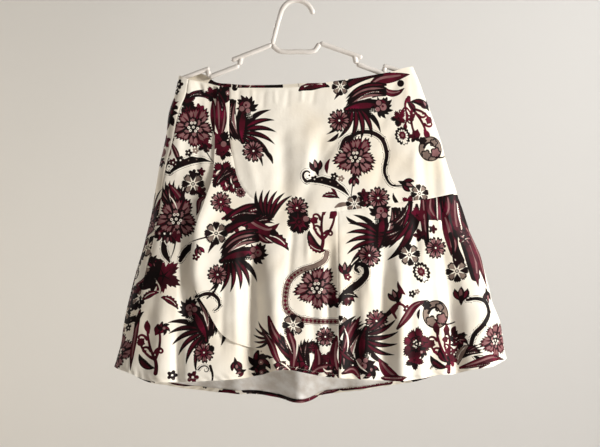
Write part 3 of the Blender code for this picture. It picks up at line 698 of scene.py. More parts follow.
def roped(away, run):
    """The slanting ripples of a turned hem."""
    wave = np.sin(2 * math.pi * (run + away) / ROPE_LENGTH + drift(run, ROPE_DRIFT))
    return HEM_ROPE * wave * np.exp(-((away / ROPE_REACH) ** 2))


# Height, waves across and along in radians a metre, and start
CRUMPLES = (
    (0.00030, 61, 23, 0.4),
    (0.00022, -37, 88, 1.9),
    (0.00016, 141, 52, 3.0),
    (0.00013, -118, 149, 5.2),
)


def crumpled(x, z):
    """The faint unevenness of cloth that has been worn and washed."""
    total = np.zeros_like(x)
    for height, across, along, start in CRUMPLES:
        bend = 1.4 * np.sin(x * along * 0.37 + start) + 1.1 * np.sin(z * across * 0.29 - start)
        total += height * np.sin(x * across + z * along + start + bend)
    return total


# %% Cut a panel
Layer = namedtuple("Layer", "places faces points")


def layer(outline, spacing, height):
    """Fill an outline and lift it onto the folded tube. height(q, z, flat) is how far it stands out."""
    flat, faces = fill(plan(outline), spacing)
    q, z = flat[:, 0] / PLAN_WIDTH, flat[:, 1]
    normal, _ = tube_normal(q, z)
    points = tube_point(q, z) + normal * (fold_depth(q, z) + height(q, z, flat))[:, None]
    return Layer(np.stack([q, z], axis=-1), faces, points)


def shell(outer, inner, rim):
    """Join two layers that share their first points, the rim, into one closed skin."""
    shift = len(outer.points)
    edge = np.arange(rim)
    after = np.roll(edge, -1)
    sides = [(b, a, shift + a, shift + b) for a, b in zip(edge.tolist(), after.tolist())]
    faces = outer.faces.tolist() + (inner.faces[:, ::-1] + shift).tolist() + sides
    return np.concatenate([outer.points, inner.points]), faces


def standing(rise, sewn_lines, hem_line):
    """How far a panel stands out of the folded tube, as a function of (q, z, flat)."""
    seams = seam_tree(sewn_lines) if sewn_lines else None
    edge = seam_tree([hem_line]) if hem_line is not None else None

    def height(q, z, flat):
        total = rise(q, z) + crumpled(tube_point(q, z)[..., 0], z)
        if seams:
            total = total + sewn(*near(seams, flat))
        if edge:
            total = total + roped(*near(edge, flat))
        return total

    return height


def panel_layers(outline, rise, sewn_lines, hem_line, wall, spacing, coarse, start=0.0):
    """The two layers of a panel. start moves both of them in by so much."""
    height = standing(rise, sewn_lines, hem_line)
    outer = layer(outline, spacing, lambda q, z, flat: height(q, z, flat) - start)
    inner = layer(outline, coarse, lambda q, z, flat: height(q, z, flat) - start - wall)
    return outer, inner


print("the cloth is", WALL * 1000, "mm thick and its hem is turned up", HEM_TURN * 1000, "mm")

# %% [markdown]
# ## Shader sums
#
# A cloth's colour is mostly arithmetic: a distance turned into a mask, masks that lie over each other, a
# little noise. Written node by node that can't be read. So a socket is wrapped in a small class that
# takes part in sums as a number does, and every other node is made by one call.

# %% Paint
class Paint:
    """A material whose nodes are made and linked by calls."""

    def __init__(self, name, **sockets):
        self.material = bpy.data.materials.new(name)
        self.material.use_nodes = True
        self.tree = self.material.node_tree
        self.shader = self.tree.nodes["Principled BSDF"]
        for socket, value in sockets.items():
            self.shader.inputs[socket.replace("_", " ").title().replace("Ior", "IOR")].default_value = value

    def node(self, kind, inputs=None, output=0, **settings):
        """Make a node, feed its sockets, and give one of its outputs."""
        made = self.tree.nodes.new("ShaderNode" + kind)
        for setting, value in settings.items():
            setattr(made, setting, value)
        for socket, value in (inputs or {}).items():
            self.feed(made.inputs[socket], value)
        return Value(self, made.outputs[output])

    def feed(self, socket, value):
        """Link a value to a socket, or set the socket to it."""
        if isinstance(value, Value):
            self.tree.links.new(value.socket, socket)
        else:
            socket.default_value = value

    def show(self, **sockets):
        """Feed the surface's own sockets."""
        for socket, value in sockets.items():
            self.feed(self.shader.inputs[socket.replace("_", " ").title()], value)
        return self.material

    def attribute(self, name, output="Fac"):
        """What the mesh stores at each point under a name."""
        return self.node("Attribute", output=output, attribute_name=name)

    def object_place(self):
        return self.node("TexCoord", output="Object")

    def noise(self, place, scale, detail=2.0, roughness=0.5):
        """Cloudy noise from 0 to 1, with so many clouds to a metre."""
        inputs = {"Vector": place, "Scale": scale, "Detail": detail, "Roughness": roughness}
        return self.node("TexNoise", inputs)

    def blend(self, share, a, b):
        """A colour that goes from a to b as the share goes from 0 to 1."""
        a, b = (c if isinstance(c, Value) else (*c, 1.0) for c in (a, b))
        return self.node("Mix", {0: share, 6: a, 7: b}, output=2, data_type="RGBA")

    def ramp(self, value, low, high, start=0.0, stop=1.0):
        """Go smoothly from start to stop as the value goes from low to high."""
        inputs = {"Value": value, "From Min": low, "From Max": high, "To Min": start, "To Max": stop}
        return self.node("MapRange", inputs, interpolation_type="SMOOTHSTEP")

    def bump(self, height, distance, strength=1.0):
        """A normal that tilts as the height changes."""
        inputs = {"Height": height, "Distance": distance, "Strength": strength}
        return self.node("Bump", inputs)


class Value:
    """One socket of a paint, which takes part in sums."""

    def __init__(self, paint, socket):
        self.paint, self.socket = paint, socket

    def math(self, operation, *others):
        inputs = dict(enumerate((self, *others)))
        return self.paint.node("Math", inputs, operation=operation)

    def __add__(self, other):
        return self.math("ADD", other)

    def __mul__(self, other):
        return self.math("MULTIPLY", other)

    def __sub__(self, other):
        return self.math("SUBTRACT", other)

    def __rsub__(self, other):
        return self.math("MULTIPLY", -1.0) + other

    def sine(self):
        return self.math("SINE")

    def part(self, axis):
        """X, Y or Z of a place."""
        return self.paint.node("SeparateXYZ", {0: self}, output=axis)

    __radd__, __rmul__ = __add__, __mul__


# %% [markdown]
# ## Cloth, plastic and metal
#
# The cloth is cotton sateen: cream, smooth, with a soft sheen on the ridges. Its print comes as four
# inks. Each ink is stored at every point of the mesh as the distance to the edge of its shapes, so the
# edge stays sharp between the points. Where the distance is negative the ink covers the ground.
# The reverse is plain and a little uneven in tone. The hanger is glossy moulded plastic, the zip nickel.

# %% Surfaces
CREAM, CREAM_DEEP = srgb(249, 243, 230), srgb(241, 230, 210)
STONE, STONE_PALE = srgb(112, 94, 86), srgb(140, 122, 110)
MAUVE, MAUVE_BROWN = srgb(142, 100, 101), srgb(122, 86, 85)
WINE, WINE_BRIGHT, MAROON = srgb(78, 9, 28), srgb(114, 12, 48), srgb(46, 5, 14)
BLACK, BLACK_WINE = srgb(12, 4, 4), srgb(26, 5, 8)
REVERSE, REVERSE_WARM = srgb(250, 248, 244), srgb(224, 217, 208)
INKS = ("stone", "mauve", "wine", "black")
EDGE_SOFT = 0.00035  # over which an ink's edge fades, in metres
THREADS = 2600.0  # radians of weave for each metre


def weave_bump(paint, place):
    """Sateen's fine lengthwise floats, with slight slubs and the cloth's rumples."""
    across = (place.part("X") * THREADS).sine() * 0.5
    along = (place.part("Y") * (THREADS * 0.4)).sine() * 0.2
    slubs = paint.noise(place, 900.0, 2.0)
    rumples = paint.noise(place, 55.0, 3.0, 0.6)
    fine = paint.bump(across + along + slubs, 0.00006, 0.35)
    broad = {"Height": rumples, "Distance": 0.0016, "Strength": 0.35, "Normal": fine}
    return paint.node("Bump", broad)


def sateen():
    """The printed side: a mottled ground, and the inks over it one after another."""
    sheen = {"sheen_weight": 0.02, "sheen_roughness": 0.4}
    paint = Paint("printed sateen", roughness=0.55, specular_ior_level=0.12, **sheen)
    place = paint.attribute("cloth_place", "Vector")
    mottle = paint.noise(place, 34.0, 3.0)
    blotch = paint.noise(place, 9.0, 2.0)
    colour = paint.blend(paint.ramp(blotch, 0.35, 0.75), CREAM, CREAM_DEEP)
    dull_wine = paint.blend(paint.ramp(mottle, 0.37, 0.56), MAROON, WINE)
    hues = {
        "stone": paint.blend(paint.ramp(mottle, 0.35, 0.65), STONE, STONE_PALE),
        "mauve": paint.blend(paint.ramp(mottle, 0.35, 0.65), MAUVE, MAUVE_BROWN),
        "wine": paint.blend(paint.ramp(mottle, 0.56, 0.74), dull_wine, WINE_BRIGHT),
        "black": paint.blend(paint.ramp(mottle, 0.4, 0.7), BLACK, BLACK_WINE),
    }
    for ink in INKS:
        mask = paint.ramp(paint.attribute(ink), -EDGE_SOFT, EDGE_SOFT, 1.0, 0.0)
        colour = paint.blend(mask, colour, hues[ink])
    return paint.show(base_color=colour, normal=weave_bump(paint, place))


def reverse_side():
    """The unprinted side, a little uneven in tone."""
    paint = Paint("reverse of the sateen", roughness=0.72, sheen_weight=0.15)
    place = paint.attribute("cloth_place", "Vector")
    cloud = paint.noise(place, 60.0, 4.0)
    colour = paint.blend(paint.ramp(cloud, 0.3, 0.7), REVERSE, REVERSE_WARM)
    return paint.show(base_color=colour, normal=weave_bump(paint, place))


def moulded_plastic():
    """Glossy plastic with a fine parting line down the middle of the moulding."""
    paint = Paint("white moulded plastic", coat_weight=0.5, coat_roughness=0.08)
    place = paint.object_place()
    grime = paint.noise(place, 38.0, 3.0)
    colour = paint.blend(paint.ramp(grime, 0.35, 0.75), srgb(232, 226, 219), srgb(216, 208, 199))
    seam = place.part("Y").math("ABSOLUTE")
    parting = paint.ramp(seam, 0.00015, 0.0005, 1.0, 0.0)
    flow = paint.noise(place, 120.0, 2.0)
    return paint.show(
        base_color=colour,
        roughness=paint.ramp(grime, 0.3, 0.8, 0.2, 0.36),
        normal=paint.bump(parting + flow * 0.3, 0.0002, 0.6),
    )


def nickel():
    """Plated metal, dulled in spots by handling."""
    paint = Paint("nickel", metallic=1.0)
    place = paint.object_place()
    worn = paint.noise(place, 420.0, 4.0)
    colour = paint.blend(paint.ramp(worn, 0.3, 0.7), srgb(206, 202, 196), srgb(178, 173, 166))
    return paint.show(
        base_color=colour,
        roughness=paint.ramp(worn, 0.3, 0.8, 0.24, 0.42),
        normal=paint.bump(worn, 0.00005, 0.5),
    )


def thread():
    """Matt cotton thread with its fibres."""
    paint = Paint("cream thread", roughness=0.6, sheen_weight=0.3)
    place = paint.object_place()
    fibre = paint.noise(place, 1500.0, 2.0)
    colour = paint.blend(fibre, srgb(240, 234, 216), srgb(205, 195, 172))
    return paint.show(base_color=colour, normal=paint.bump(fibre, 0.0001, 0.6))


SATEEN, REVERSE_SIDE = sateen(), reverse_side()
PLASTIC, NICKEL, THREAD = moulded_plastic(), nickel(), thread()
print("surfaces:", ", ".join(material.name for material in bpy.data.materials))

# %% [markdown]
# ## Ink on cloth
#
# A printer lays one screen after another, and later ink covers earlier. The same is done here at each
# point of the cloth: four numbers hold how far the point lies from the shapes of each ink, in
# millimetres and negative inside. Painting a shape takes the smaller distance for its own ink and
# pushes the inks that would cover it out of the way. As at a real printer's, an ink runs on a little
# under the ones that cover it, a trap, so that no cloth shows between them. Points are complex numbers,
# so turning a motif is one product.

# %% Canvas
FAR = 10.0  # the greatest distance kept, in millimetres
TRAP = 1.2  # how far an ink runs on under the ones that cover it
MILLIMETRE = 0.001


class Canvas:
    """The inks over some places of the cloth, which are complex numbers in millimetres."""

    def __init__(self, places):
        self.places = places
        self.inks = np.full((len(INKS), len(places)), FAR)


class Patch:
    """The part of a canvas round one motif, measured from its centre, along its turn and in its unit."""

    def __init__(self, canvas, centre, reach, turn=0.0, unit=1.0):
        self.canvas, self.unit = canvas, unit
        self.where = np.flatnonzero(np.abs(canvas.places - centre) < reach)
        self.p = (canvas.places[self.where] - centre) * np.exp(-1j * math.radians(turn)) / unit

    def paint(self, ink, shape):
        """Lay an ink, or bare cloth, over a shape."""
        shape = shape * self.unit
        inks = self.canvas.inks[:, self.where]
        row = INKS.index(ink) if ink in INKS else -1
        above = inks[row + 1 :]
        if row >= 0:
            trapped = np.maximum(shape - TRAP, above.min(axis=0, initial=FAR))
            inks[row] = np.minimum(inks[row], np.minimum(shape, trapped))
        inks[row + 1 :] = np.maximum(above, -shape)
        self.canvas.inks[:, self.where] = inks


# %% [markdown]
# ## Strokes and petals
#
# Nearly all the motifs are made of two things. A brush stroke swells and tapers along a bowed line. A
# rosette repeats one petal round a centre: every point is turned into the first petal, which is then
# drawn once. Petals differ by how blunt they are, how deeply they part and how their tips are cut.

# %% Strokes
def both(*shapes):
    """Where all the shapes overlap."""
    return np.maximum.reduce(shapes)


LINE_STEP = 0.8  # millimetres between a line's points
HAIRLINE, THIN_LINE = 0.45, 0.4  # half widths of fine outlines, in millimetres
LEAST_EDGE = 1.1  # of a blade's outer ink round its inner one, in millimetres
END_SLOPE = 40  # how steeply a shape ends along a stroke
Stroke = namedtuple("Stroke", "away share run side mm")


def bowed(patch, start, stop, rise=0.0):
    """A line from start to stop that bows to its left by a share of its length."""
    t = np.linspace(0, 1, max(4, int(abs(stop - start) * patch.unit / LINE_STEP)))
    return start + (stop - start) * (t + 4j * rise * t * (1 - t))


def through(places):
    """A smooth line through some places (x, z)."""
    line = curve(places, LINE_STEP)
    return line[:, 0] + 1j * line[:, 1]


def curl(patch, start, heading, length, turn, tighten=1.5):
    """A line that sets out at a heading and turns by so many degrees, ever more tightly."""
    t = np.linspace(0, 1, max(6, int(length * patch.unit / LINE_STEP)))
    course = np.radians(heading + turn * (t + tighten * t**3) / (1 + tighten))
    steps = np.exp(1j * course) * length / len(t)
    return start + np.concatenate([[0], np.cumsum(steps[:-1])])


def stroke(patch, line):
    """Where a patch lies beside a line: how far off, the share and length of it passed, and the side."""
    offsets = patch.p[:, None] - line[None, :]
    away = np.abs(offsets)
    nearest = away.argmin(axis=1)
    pick = np.arange(len(patch.p))
    along = np.gradient(line)[nearest]
    side = np.sign((offsets[pick, nearest] * np.conj(along)).imag)
    lengths = np.concatenate([[0], np.cumsum(np.abs(np.diff(line)))])
    return Stroke(away[pick, nearest], nearest / (len(line) - 1), lengths[nearest], side, 1 / patch.unit)


def swell(share, fullest=0.4, start=0.1, stop=0.0):
    """Thickness along a stroke, in shares of the greatest."""
    rise = start + (1 - start) * np.sin(np.clip(share / fullest, 0, 1) * math.pi / 2)
    fall = stop + (1 - stop) * np.cos(np.clip((share - fullest) / (1 - fullest), 0, 1) * math.pi / 2)
    return np.where(share < fullest, rise, fall)


def up_to(s, share):
    """Keep to the first share of a stroke."""
    return (s.share - share) * END_SLOPE * s.mm


def mid_part(s, reach):
    """Keep to the middle of a stroke, this share of it to both sides."""
    return (np.abs(s.share - 0.45) - reach) * END_SLOPE * s.mm


def bead_row(s, thick, every, gap):
    """Beads along the middle of a stroke, their measures in millimetres."""
    beads = np.abs((s.run / (every * s.mm)) % 1.0 - 0.5) * every - gap
    return both(s.away - thick * s.mm, beads * s.mm)


def blade(patch, line, width, inks=("black", "wine"), fullest=0.4, start=0.15, tip=0.72):
    """A pointed leaf: one ink all over, the other inside it, to one side and as far as its tip."""
    s = stroke(patch, line)
    outer, inner = inks
    half = width / 2 * swell(s.share, fullest, start)
    patch.paint(outer, s.away - half)
    if inner:
        lean = 0.07 * width
        within = np.abs(s.away * s.side - lean) + lean - half + max(LEAST_EDGE * s.mm, width * 0.18)
        patch.paint(inner, both(within, up_to(s, tip)))


def thread_line(patch, line, width, ink="wine", stop=0.35):
    """A stem or a vein that thins out."""
    s = stroke(patch, line)
    patch.paint(ink, s.away - width / 2 * (1 - (1 - stop) * s.share))
    return s


# %% Rosettes
EDGE_LEAN = 0.85  # a petal's edge slants, so it is nearer than straight out from the centre
# Reach of a petal's edge, from its middle to the line that parts it from the next
NOTCHED = ((0.0, 0.83), (0.16, 0.88), (0.4, 1.02), (0.54, 0.9), (0.68, 0.95), (0.86, 0.82), (1.0, 0.6))
TOOTHED = ((0.0, 1.0), (0.2, 0.88), (0.42, 1.02), (0.58, 0.86), (0.76, 0.96), (0.9, 0.82), (1.0, 0.72))
RAGGED = ((0.0, 1.0), (0.2, 0.84), (0.38, 0.95), (0.55, 0.76), (0.72, 0.86), (1.0, 0.62))
JAGGED = ((0.0, 1.0), (0.2, 0.78), (0.36, 0.9), (0.56, 0.64), (0.72, 0.72), (1.0, 0.44))
SPIKED = ((0.0, 1.0), (0.45, 0.72), (1.0, 0.5))
ROUNDED = ((0.0, 1.0), (0.3, 0.96), (0.6, 0.84), (0.85, 0.66), (1.0, 0.5))
SCALLOPED = ((0.0, 1.0), (0.5, 0.96), (0.8, 0.89), (1.0, 0.82))


def folded(p, count):
    """Turn every point into the first of some equal petals. Also gives the number of its petal."""
    sector = np.round(np.angle(p) / (2 * math.pi / count))
    return p * np.exp(-2j * math.pi * sector / count), sector % count


def rosette(p, count, size, profile):
    """A flower's outline. profile gives a petal's reach from its middle (0) to the parting line (1)."""
    petal, number = folded(p, count)
    aside = np.abs(np.angle(petal)) * count / math.pi
    reach = np.interp(aside, *np.array(profile).T)
    return (np.abs(petal) - size * reach) * EDGE_LEAN, petal, number


def parted(petal, count, gap):
    """Keep this far from the lines between petals."""
    return gap - np.abs(petal) * np.sin(math.pi / count - np.abs(np.angle(petal)))


def ray(petal, width, inner, outer):
    """A tapering ray along a petal's middle, between two distances from the centre."""
    far = petal.real
    share = np.clip((far - inner) / (outer - inner), 0, 1)
    return both(np.abs(petal.imag) - width / 2 * (1 - share), inner - far, far - outer)


def dot(p, centre, radius):
    """A round shape."""
    return np.abs(p - centre) - radius


# %% [markdown]
# ## Flowers and leaves
#
# The design is of an old and common kind: fancy carnations, daisies, plumed blossoms, scrolling leaves
# and tendrils, as on block-printed calicoes. Each function below draws one kind in a patch. They are
# drawn freely from strokes and rosettes. Their measures are shares of the size that their row gives.

# %% Flowers
def daisy(patch, row):
    """Eight notched mauve petals with dark edges and wine streaks, round a pale dot."""
    shape, petal, _ = rosette(patch.p, 8, 1, NOTCHED)
    patch.paint("black", shape)
    patch.paint("mauve", both(shape + 0.15, parted(petal, 8, 0.07), 0.2 - np.abs(petal)))
    patch.paint("wine", ray(petal, 0.18, 0.15, 0.74))
    patch.paint("bare", dot(patch.p, 0, 0.08))


def star(patch, row):
    """Dark and stone petals by turns, with fine pale rays between and a pale ring in the middle."""
    shape, petal, number = rosette(patch.p, 8, 1, TOOTHED)
    patch.paint("black", shape)
    odd = np.where(number % 2 == 1, -FAR, FAR)
    inside = both(shape + 0.12, parted(petal, 8, 0.07), 0.3 - np.abs(petal))
    patch.paint("stone", both(inside, odd))
    between, _ = folded(patch.p * np.exp(1j * math.pi / 8), 8)
    patch.paint("bare", ray(between, 0.14, 0.2, 0.78))
    patch.paint("bare", dot(patch.p, 0, 0.22))
    patch.paint("black", dot(patch.p, 0, 0.15))
    patch.paint("bare", dot(patch.p, 0, 0.07))


def carnation(patch, row):
    """Two rings of toothed petals with dark rims and a streak each, and pale-ringed anthers."""
    ink = row.ink or "mauve"
    around = np.angle(patch.p)
    uneven = patch.p * (1 + 0.09 * np.sin(3 * around + 1) + 0.08 * np.sin(5 * around))
    shape, petal, _ = rosette(uneven, 8, 1.08, TOOTHED)
    patch.paint("black", shape)
    patch.paint("wine", shape + 0.08)
    patch.paint(ink, both(shape + 0.14, parted(petal, 8, 0.08)))
    patch.paint("black", both(-parted(petal, 8, 0.035), shape, 0.5 - np.abs(petal)))
    patch.paint("wine", ray(petal, 0.14, 0.45, 0.88))
    inner, petal, _ = rosette(uneven * np.exp(0.4j), 6, 0.62, RAGGED)
    patch.paint("black", inner)
    patch.paint(ink, both(inner + 0.09, parted(petal, 6, 0.07)))
    patch.paint("black", rosette(uneven, 7, 0.36, RAGGED)[0])
    for i in range(7):
        anther = (0.24 if i else 0.0) * np.exp(1j * (i + 0.25 * (i % 2)))
        patch.paint("bare", dot(patch.p, anther, 0.075))
        patch.paint("wine", dot(patch.p, anther, 0.03))


def bloom(patch, row):
    """A ragged dark blossom with pale and mauve slashes."""
    shape, petal, number = rosette(patch.p, 7, 1, RAGGED)
    patch.paint("black", shape)
    patch.paint("wine", both(shape + 0.08, parted(petal, 7, 0.07)))
    third = np.where(number % 3 == 0, -FAR, FAR)
    patch.paint("mauve", both(ray(petal, 0.22, 0.25, 0.8), third))
    for place, long, turn in ((-0.25 + 0.25j, 0.5, 0.5), (0.1 - 0.1j, 0.6, 0.4), (-0.3 - 0.35j, 0.4, 0.2)):
        half = long / 2 * np.exp(1j * turn)
        s = stroke(patch, bowed(patch, place - half, place + half, 0.1))
        patch.paint("bare", s.away - 0.055 * swell(s.share, 0.5))


def pink(patch, row):
    """A dark carnation seen from the side: a toothed fan with wine streaks."""
    shape, petal, _ = rosette(patch.p, 8, 1, TOOTHED)
    patch.paint("black", shape)
    patch.paint("wine", both(ray(petal, 0.24, 0.2, 0.84), shape + 0.08))
    patch.paint("wine", dot(patch.p, 0.1 - 0.15j, 0.3))
    patch.paint("black", ray(folded(patch.p, 13)[0], 0.07, 0.1, 0.7))


def maple(patch, row):
    """A jagged wine leaf with one dark side."""
    shape, petal, _ = rosette(patch.p, 5, 1, JAGGED)
    patch.paint("wine", shape)
    patch.paint("black", both(shape, patch.p.real + 0.25 + 0.25 * patch.p.imag))
    patch.paint("black", ray(petal, 0.09, 0.0, 0.55))


def tulip(patch, row):
    """Three pointed petals over a small dark calyx."""
    for heading, ink in ((128, "wine"), (52, "wine"), (90, "mauve")):
        tip = np.exp(1j * math.radians(heading))
        line = bowed(patch, -0.45j, tip, 0.12 * np.sign(heading - 90))
        blade(patch, line, 0.62, ("black", ink), 0.5, 0.4, 0.9)
    blade(patch, bowed(patch, -1j, 0.05j), 0.5, ("black", None), 0.7, 0.2)


def starlet(patch, row):
    """A tiny five-petalled filler."""
    shape, _, _ = rosette(patch.p, 5, 1, ROUNDED)
    patch.paint(row.ink or "black", shape)
    patch.paint("bare", dot(patch.p, 0, 0.2))


def button(patch, row):
    """An oval bud: a scalloped dark ring round a wine rosette."""
    p = patch.p.real * 1.25 + 1j * patch.p.imag
    shape, petal, _ = rosette(p, 14, 1, SCALLOPED)
    patch.paint("black", shape)
    patch.paint("bare", both(shape + 0.26, parted(petal, 14, 0.03)))
    patch.paint("wine", rosette(p - 0.08j, 7, 0.5, RAGGED)[0])
    patch.paint("mauve", dot(p, 0.08j, 0.17))
    patch.paint("bare", both(dot(p, -0.78j, 0.3), shape + 0.1))


def bulb(patch, row):
    """A round pod: a stone ball with three lobes round a bare gap, a ragged crown and a stalk."""
    ball = dot(patch.p, 0, 0.94)
    patch.paint("black", ball)
    patch.paint("stone", ball + 0.08)
    gap = rosette(patch.p - (-0.1 + 0.1j), 5, 0.46, RAGGED)[0]
    patch.paint("bare", both(ball + 0.1, gap))
    for place, reach, ink in (
        (-0.34 - 0.48j, 0.483, "stone"),
        (0.42 - 0.3j, 0.506, "mauve"),
        (0.26 + 0.46j, 0.391, "stone"),
    ):
        lobe = rosette(patch.p - place, 5, reach, RAGGED)[0]
        patch.paint("black", both(ball, lobe))
        patch.paint(ink, both(ball + 0.07, lobe + 0.1))
    thread_line(patch, curl(patch, -0.5 + 0.1j, 70, 1.0, -150, 0.6), 0.2, "black", 0.5)
    patch.paint("black", rosette(patch.p - (-0.62 + 0.6j), 6, 0.36, RAGGED)[0])
    stalk = bowed(patch, 0.5 - 0.62j, 1.35 - 0.5j, -0.1)
    thread_line(patch, stalk, 0.14, "black", 0.6)


# %% Leaves, pods and plumes
# All in millimetres: the specks of a plume, and the bars and ticks of a sash with their half widths
SPECK_STEP, SPECK_RADIUS = 2.9, 0.75
BAR_STEP, BAR_HALF, TICK_STEP, TICK_HALF = 11, 2.8, 17, 0.5


def leaf(patch, row):
    """A plain pointed leaf along its own turn."""
    blade(patch, bowed(patch, -1, 1, 0.14), 0.52, (row.ink or "black", None), 0.42)


def feather(patch, row):
    """A curling leaf cut into barbs on one side."""
    s = stroke(patch, bowed(patch, -1, 1, 0.16))
    barbs = np.abs((s.run / 0.3) % 1.0 - 0.5)
    half = 0.4 * swell(s.share, 0.4, 0.3) * (1 - 0.8 * barbs * (s.side > 0))
    patch.paint("black", s.away - half)
    patch.paint(row.ink or "wine", s.away - half + 0.09)
    patch.paint("bare", both(s.away - 0.035, mid_part(s, 0.3)))


def sheath(patch, row):
    """A bundle of long narrow petals, which part towards their tips, with a beaded line."""
    blade(patch, bowed(patch, -1, 0.8, 0.10), 0.62, ("black", None), 0.55, 0.35)
    for i, inner in enumerate(("wine", "mauve", "wine", "mauve", "wine")):
        aside = (i - 2) / 2
        line = bowed(patch, -1 - 0.12j * aside, 1 - 0.1 * abs(aside) + 0.42j * aside, 0.10)
        blade(patch, line, 0.27, ("black", inner), 0.45, 0.35, 0.84)
    middle = stroke(patch, bowed(patch, -0.7, 0.4 + 0.05j, 0.10))
    patch.paint("bare", bead_row(middle, 0.7, 3.0, 0.9))


def scroll(patch, row):
    """A black crescent leaf with a lobed back and a fine outline, which ends in a curl."""
    body = bowed(patch, -0.86, 0.95, 0.16)
    tail = curl(patch, body[0], 172, 0.8, -290, 0.8)
    s = thread_line(patch, tail, 0.12, "black", 0.4)
    patch.paint("black", both(np.abs(s.away - 0.11) - HAIRLINE * s.mm, up_to(s, 0.75)))
    patch.paint("bare", dot(patch.p, tail[-1], 0.085))
    patch.paint("black", dot(patch.p, tail[-1], 0.04))
    s = stroke(patch, body)
    lobes = 1 + 0.13 * np.sin(s.run / 0.075) * (s.side > 0) * (s.share < 0.9)
    half = 0.15 * swell(s.share, 0.45, 0.25) * lobes
    patch.paint("black", s.away - half)
    patch.paint("black", np.abs(s.away - half - 0.06) - THIN_LINE * s.mm)
    for place in (0.3, 0.48, 0.66):
        patch.paint("stone", dot(patch.p, body[int(place * len(body))] + 0.02j, 0.03))


def fan(patch, base, count, spread):
    """Long bowed leaves side by side: black, wine inside, their tips black."""
    for i in range(count):
        share = i / (count - 1)
        heading = math.radians(spread * (0.5 - share))
        start = base + (0.10 - 0.36 * share) * 1j
        stop = start + (0.86 + 0.14 * share) * np.exp(1j * heading)
        inner = None if i == 0 else "wine"
        blade(patch, bowed(patch, start, stop, 0.12), 0.15, ("black", inner), 0.34, 0.35, 0.74)


def plume(patch, row):
    """The great blossom: a fan of long leaves, a spiked head with mauve lobes, and a sheaf of petals."""
    p = patch.p
    patch.p = p.real + 1j * p.imag * row.flip
    head = -0.10 + 0.60j
    outer_leaf = bowed(patch, -1.1 + 0.8j, -0.56 - 0.26j, -0.16)
    blade(patch, outer_leaf, 0.2, ("black", None), 0.4, 0.4)
    inner_leaf = bowed(patch, -1.0 + 0.6j, -0.18 - 0.72j, -0.14)
    blade(patch, inner_leaf, 0.24, ("black", "wine"), 0.45, 0.4)
    for i in range(7):
        heading = math.radians(160 - 24 * i)
        root = head + 0.1 * np.exp(1j * heading)
        tip = head + (0.34 + 0.05 * (i % 2)) * np.exp(1j * (heading - 0.2))
        blade(patch, bowed(patch, root, tip, -0.16), 0.13, ("black", None), 0.35, 0.6)
    sheaf = bowed(patch, -0.5 + 0.66j, -0.12 - 0.34j, -0.13)
    blade(patch, sheaf, 0.42, ("black", None), 0.5, 0.5)
    for aside, ink in ((-0.21, "wine"), (-0.11, "mauve"), (0.0, "wine"), (0.08, "mauve")):
        line = bowed(patch, -0.5 + 0.72j + aside, -0.02 - 0.40j + aside, -0.13)
        blade(patch, line, 0.16, ("black", ink), 0.45, 0.45, 0.86)
        s = stroke(patch, line + 0.06)
        patch.paint("bare", both(s.away - 0.016, mid_part(s, 0.175)))
    beaded = stroke(patch, bowed(patch, -0.50 + 0.55j, -0.22 - 0.05j, -0.12))
    patch.paint("bare", bead_row(beaded, 0.7, 3.0, 0.9))
    s = stroke(patch, bowed(patch, head, 0.04 - 0.36j, -0.06))
    patch.paint("black", s.away - 0.18 * swell(s.share, 0.3, 0.9, 0.4))
    patch.paint("wine", s.away - 0.08 * swell(s.share, 0.5, 0.4, 0.2))
    fan(patch, 0.02, row.count, row.spread)
    patch.paint("black", rosette(patch.p - head, 9, 0.28, SPIKED)[0])
    patch.paint("wine", dot(patch.p, head - 0.02, 0.17))
    for place, radius in ((0.02 + 0.08j, 0.10), (-0.09 - 0.05j, 0.075), (0.09 - 0.07j, 0.065)):
        patch.paint("black", dot(patch.p, head + place, radius + 0.022))
        patch.paint("mauve", dot(patch.p, head + place, radius))
    patch.paint("wine", dot(patch.p, head + 0.07j, 0.035))
    grid = (patch.p - head) / (SPECK_STEP * s.mm)
    off = np.abs(grid - np.round(grid.real) - 1j * np.round(grid.imag))
    specks = (off * SPECK_STEP - SPECK_RADIUS) * s.mm
    patch.paint("bare", both(specks, dot(patch.p, head + (0.16 - 0.19j), 0.10)))
    patch.p = p


def spray(patch, row):
    """A fan of leaves alone."""
    fan(patch, 0, row.count, row.spread)


def branch(patch, row):
    """Wine stems that fork from one foot into leaves, a trefoil and curling tendrils."""
    foot = -0.95j
    fork = foot + (0.08 + 0.5j)
    thread_line(patch, bowed(patch, foot, fork, -0.08), 0.17, "wine", 0.8)
    tips = (0.45 + 0.75j, -0.1, 0.3), (0.05 + 0.95j, 0.08, 0.26), (-0.4 + 0.35j, 0.14, 0.36)
    for tip, rise, width in tips:
        thread_line(patch, bowed(patch, fork, tip, rise), 0.12, "wine", 0.7)
        bud = bowed(patch, 0.58 * tip, tip + 0.1j, rise)
        blade(patch, bud, width, ("wine", None), 0.5)
    curls = (-0.05 - 0.1j, 105, 330), (0.12 - 0.2j, 60, -330), (-0.12 + 0.35j, 100, 320)
    for start, heading, turn in curls:
        thread_line(patch, curl(patch, start, heading, 0.62, turn), 0.11, "wine", 0.6)
    blade(patch, bowed(patch, foot + 0.2j, -0.52 - 0.1j, 0.2), 0.3, ("black", "wine"), 0.5)


def clump(patch, row):
    """A dark knot of small leaves and buds."""
    for i in range(6):
        tip = np.exp(1j * (0.5 + i * 1.05))
        inks = "black", "wine" if i % 2 else None
        blade(patch, bowed(patch, -0.25 * tip, tip, 0.2), 0.5, inks, 0.45, 0.3, 0.7)
    patch.paint("mauve", dot(patch.p, 0.1, 0.2))
    patch.paint("bare", dot(patch.p, 0.1, 0.06))


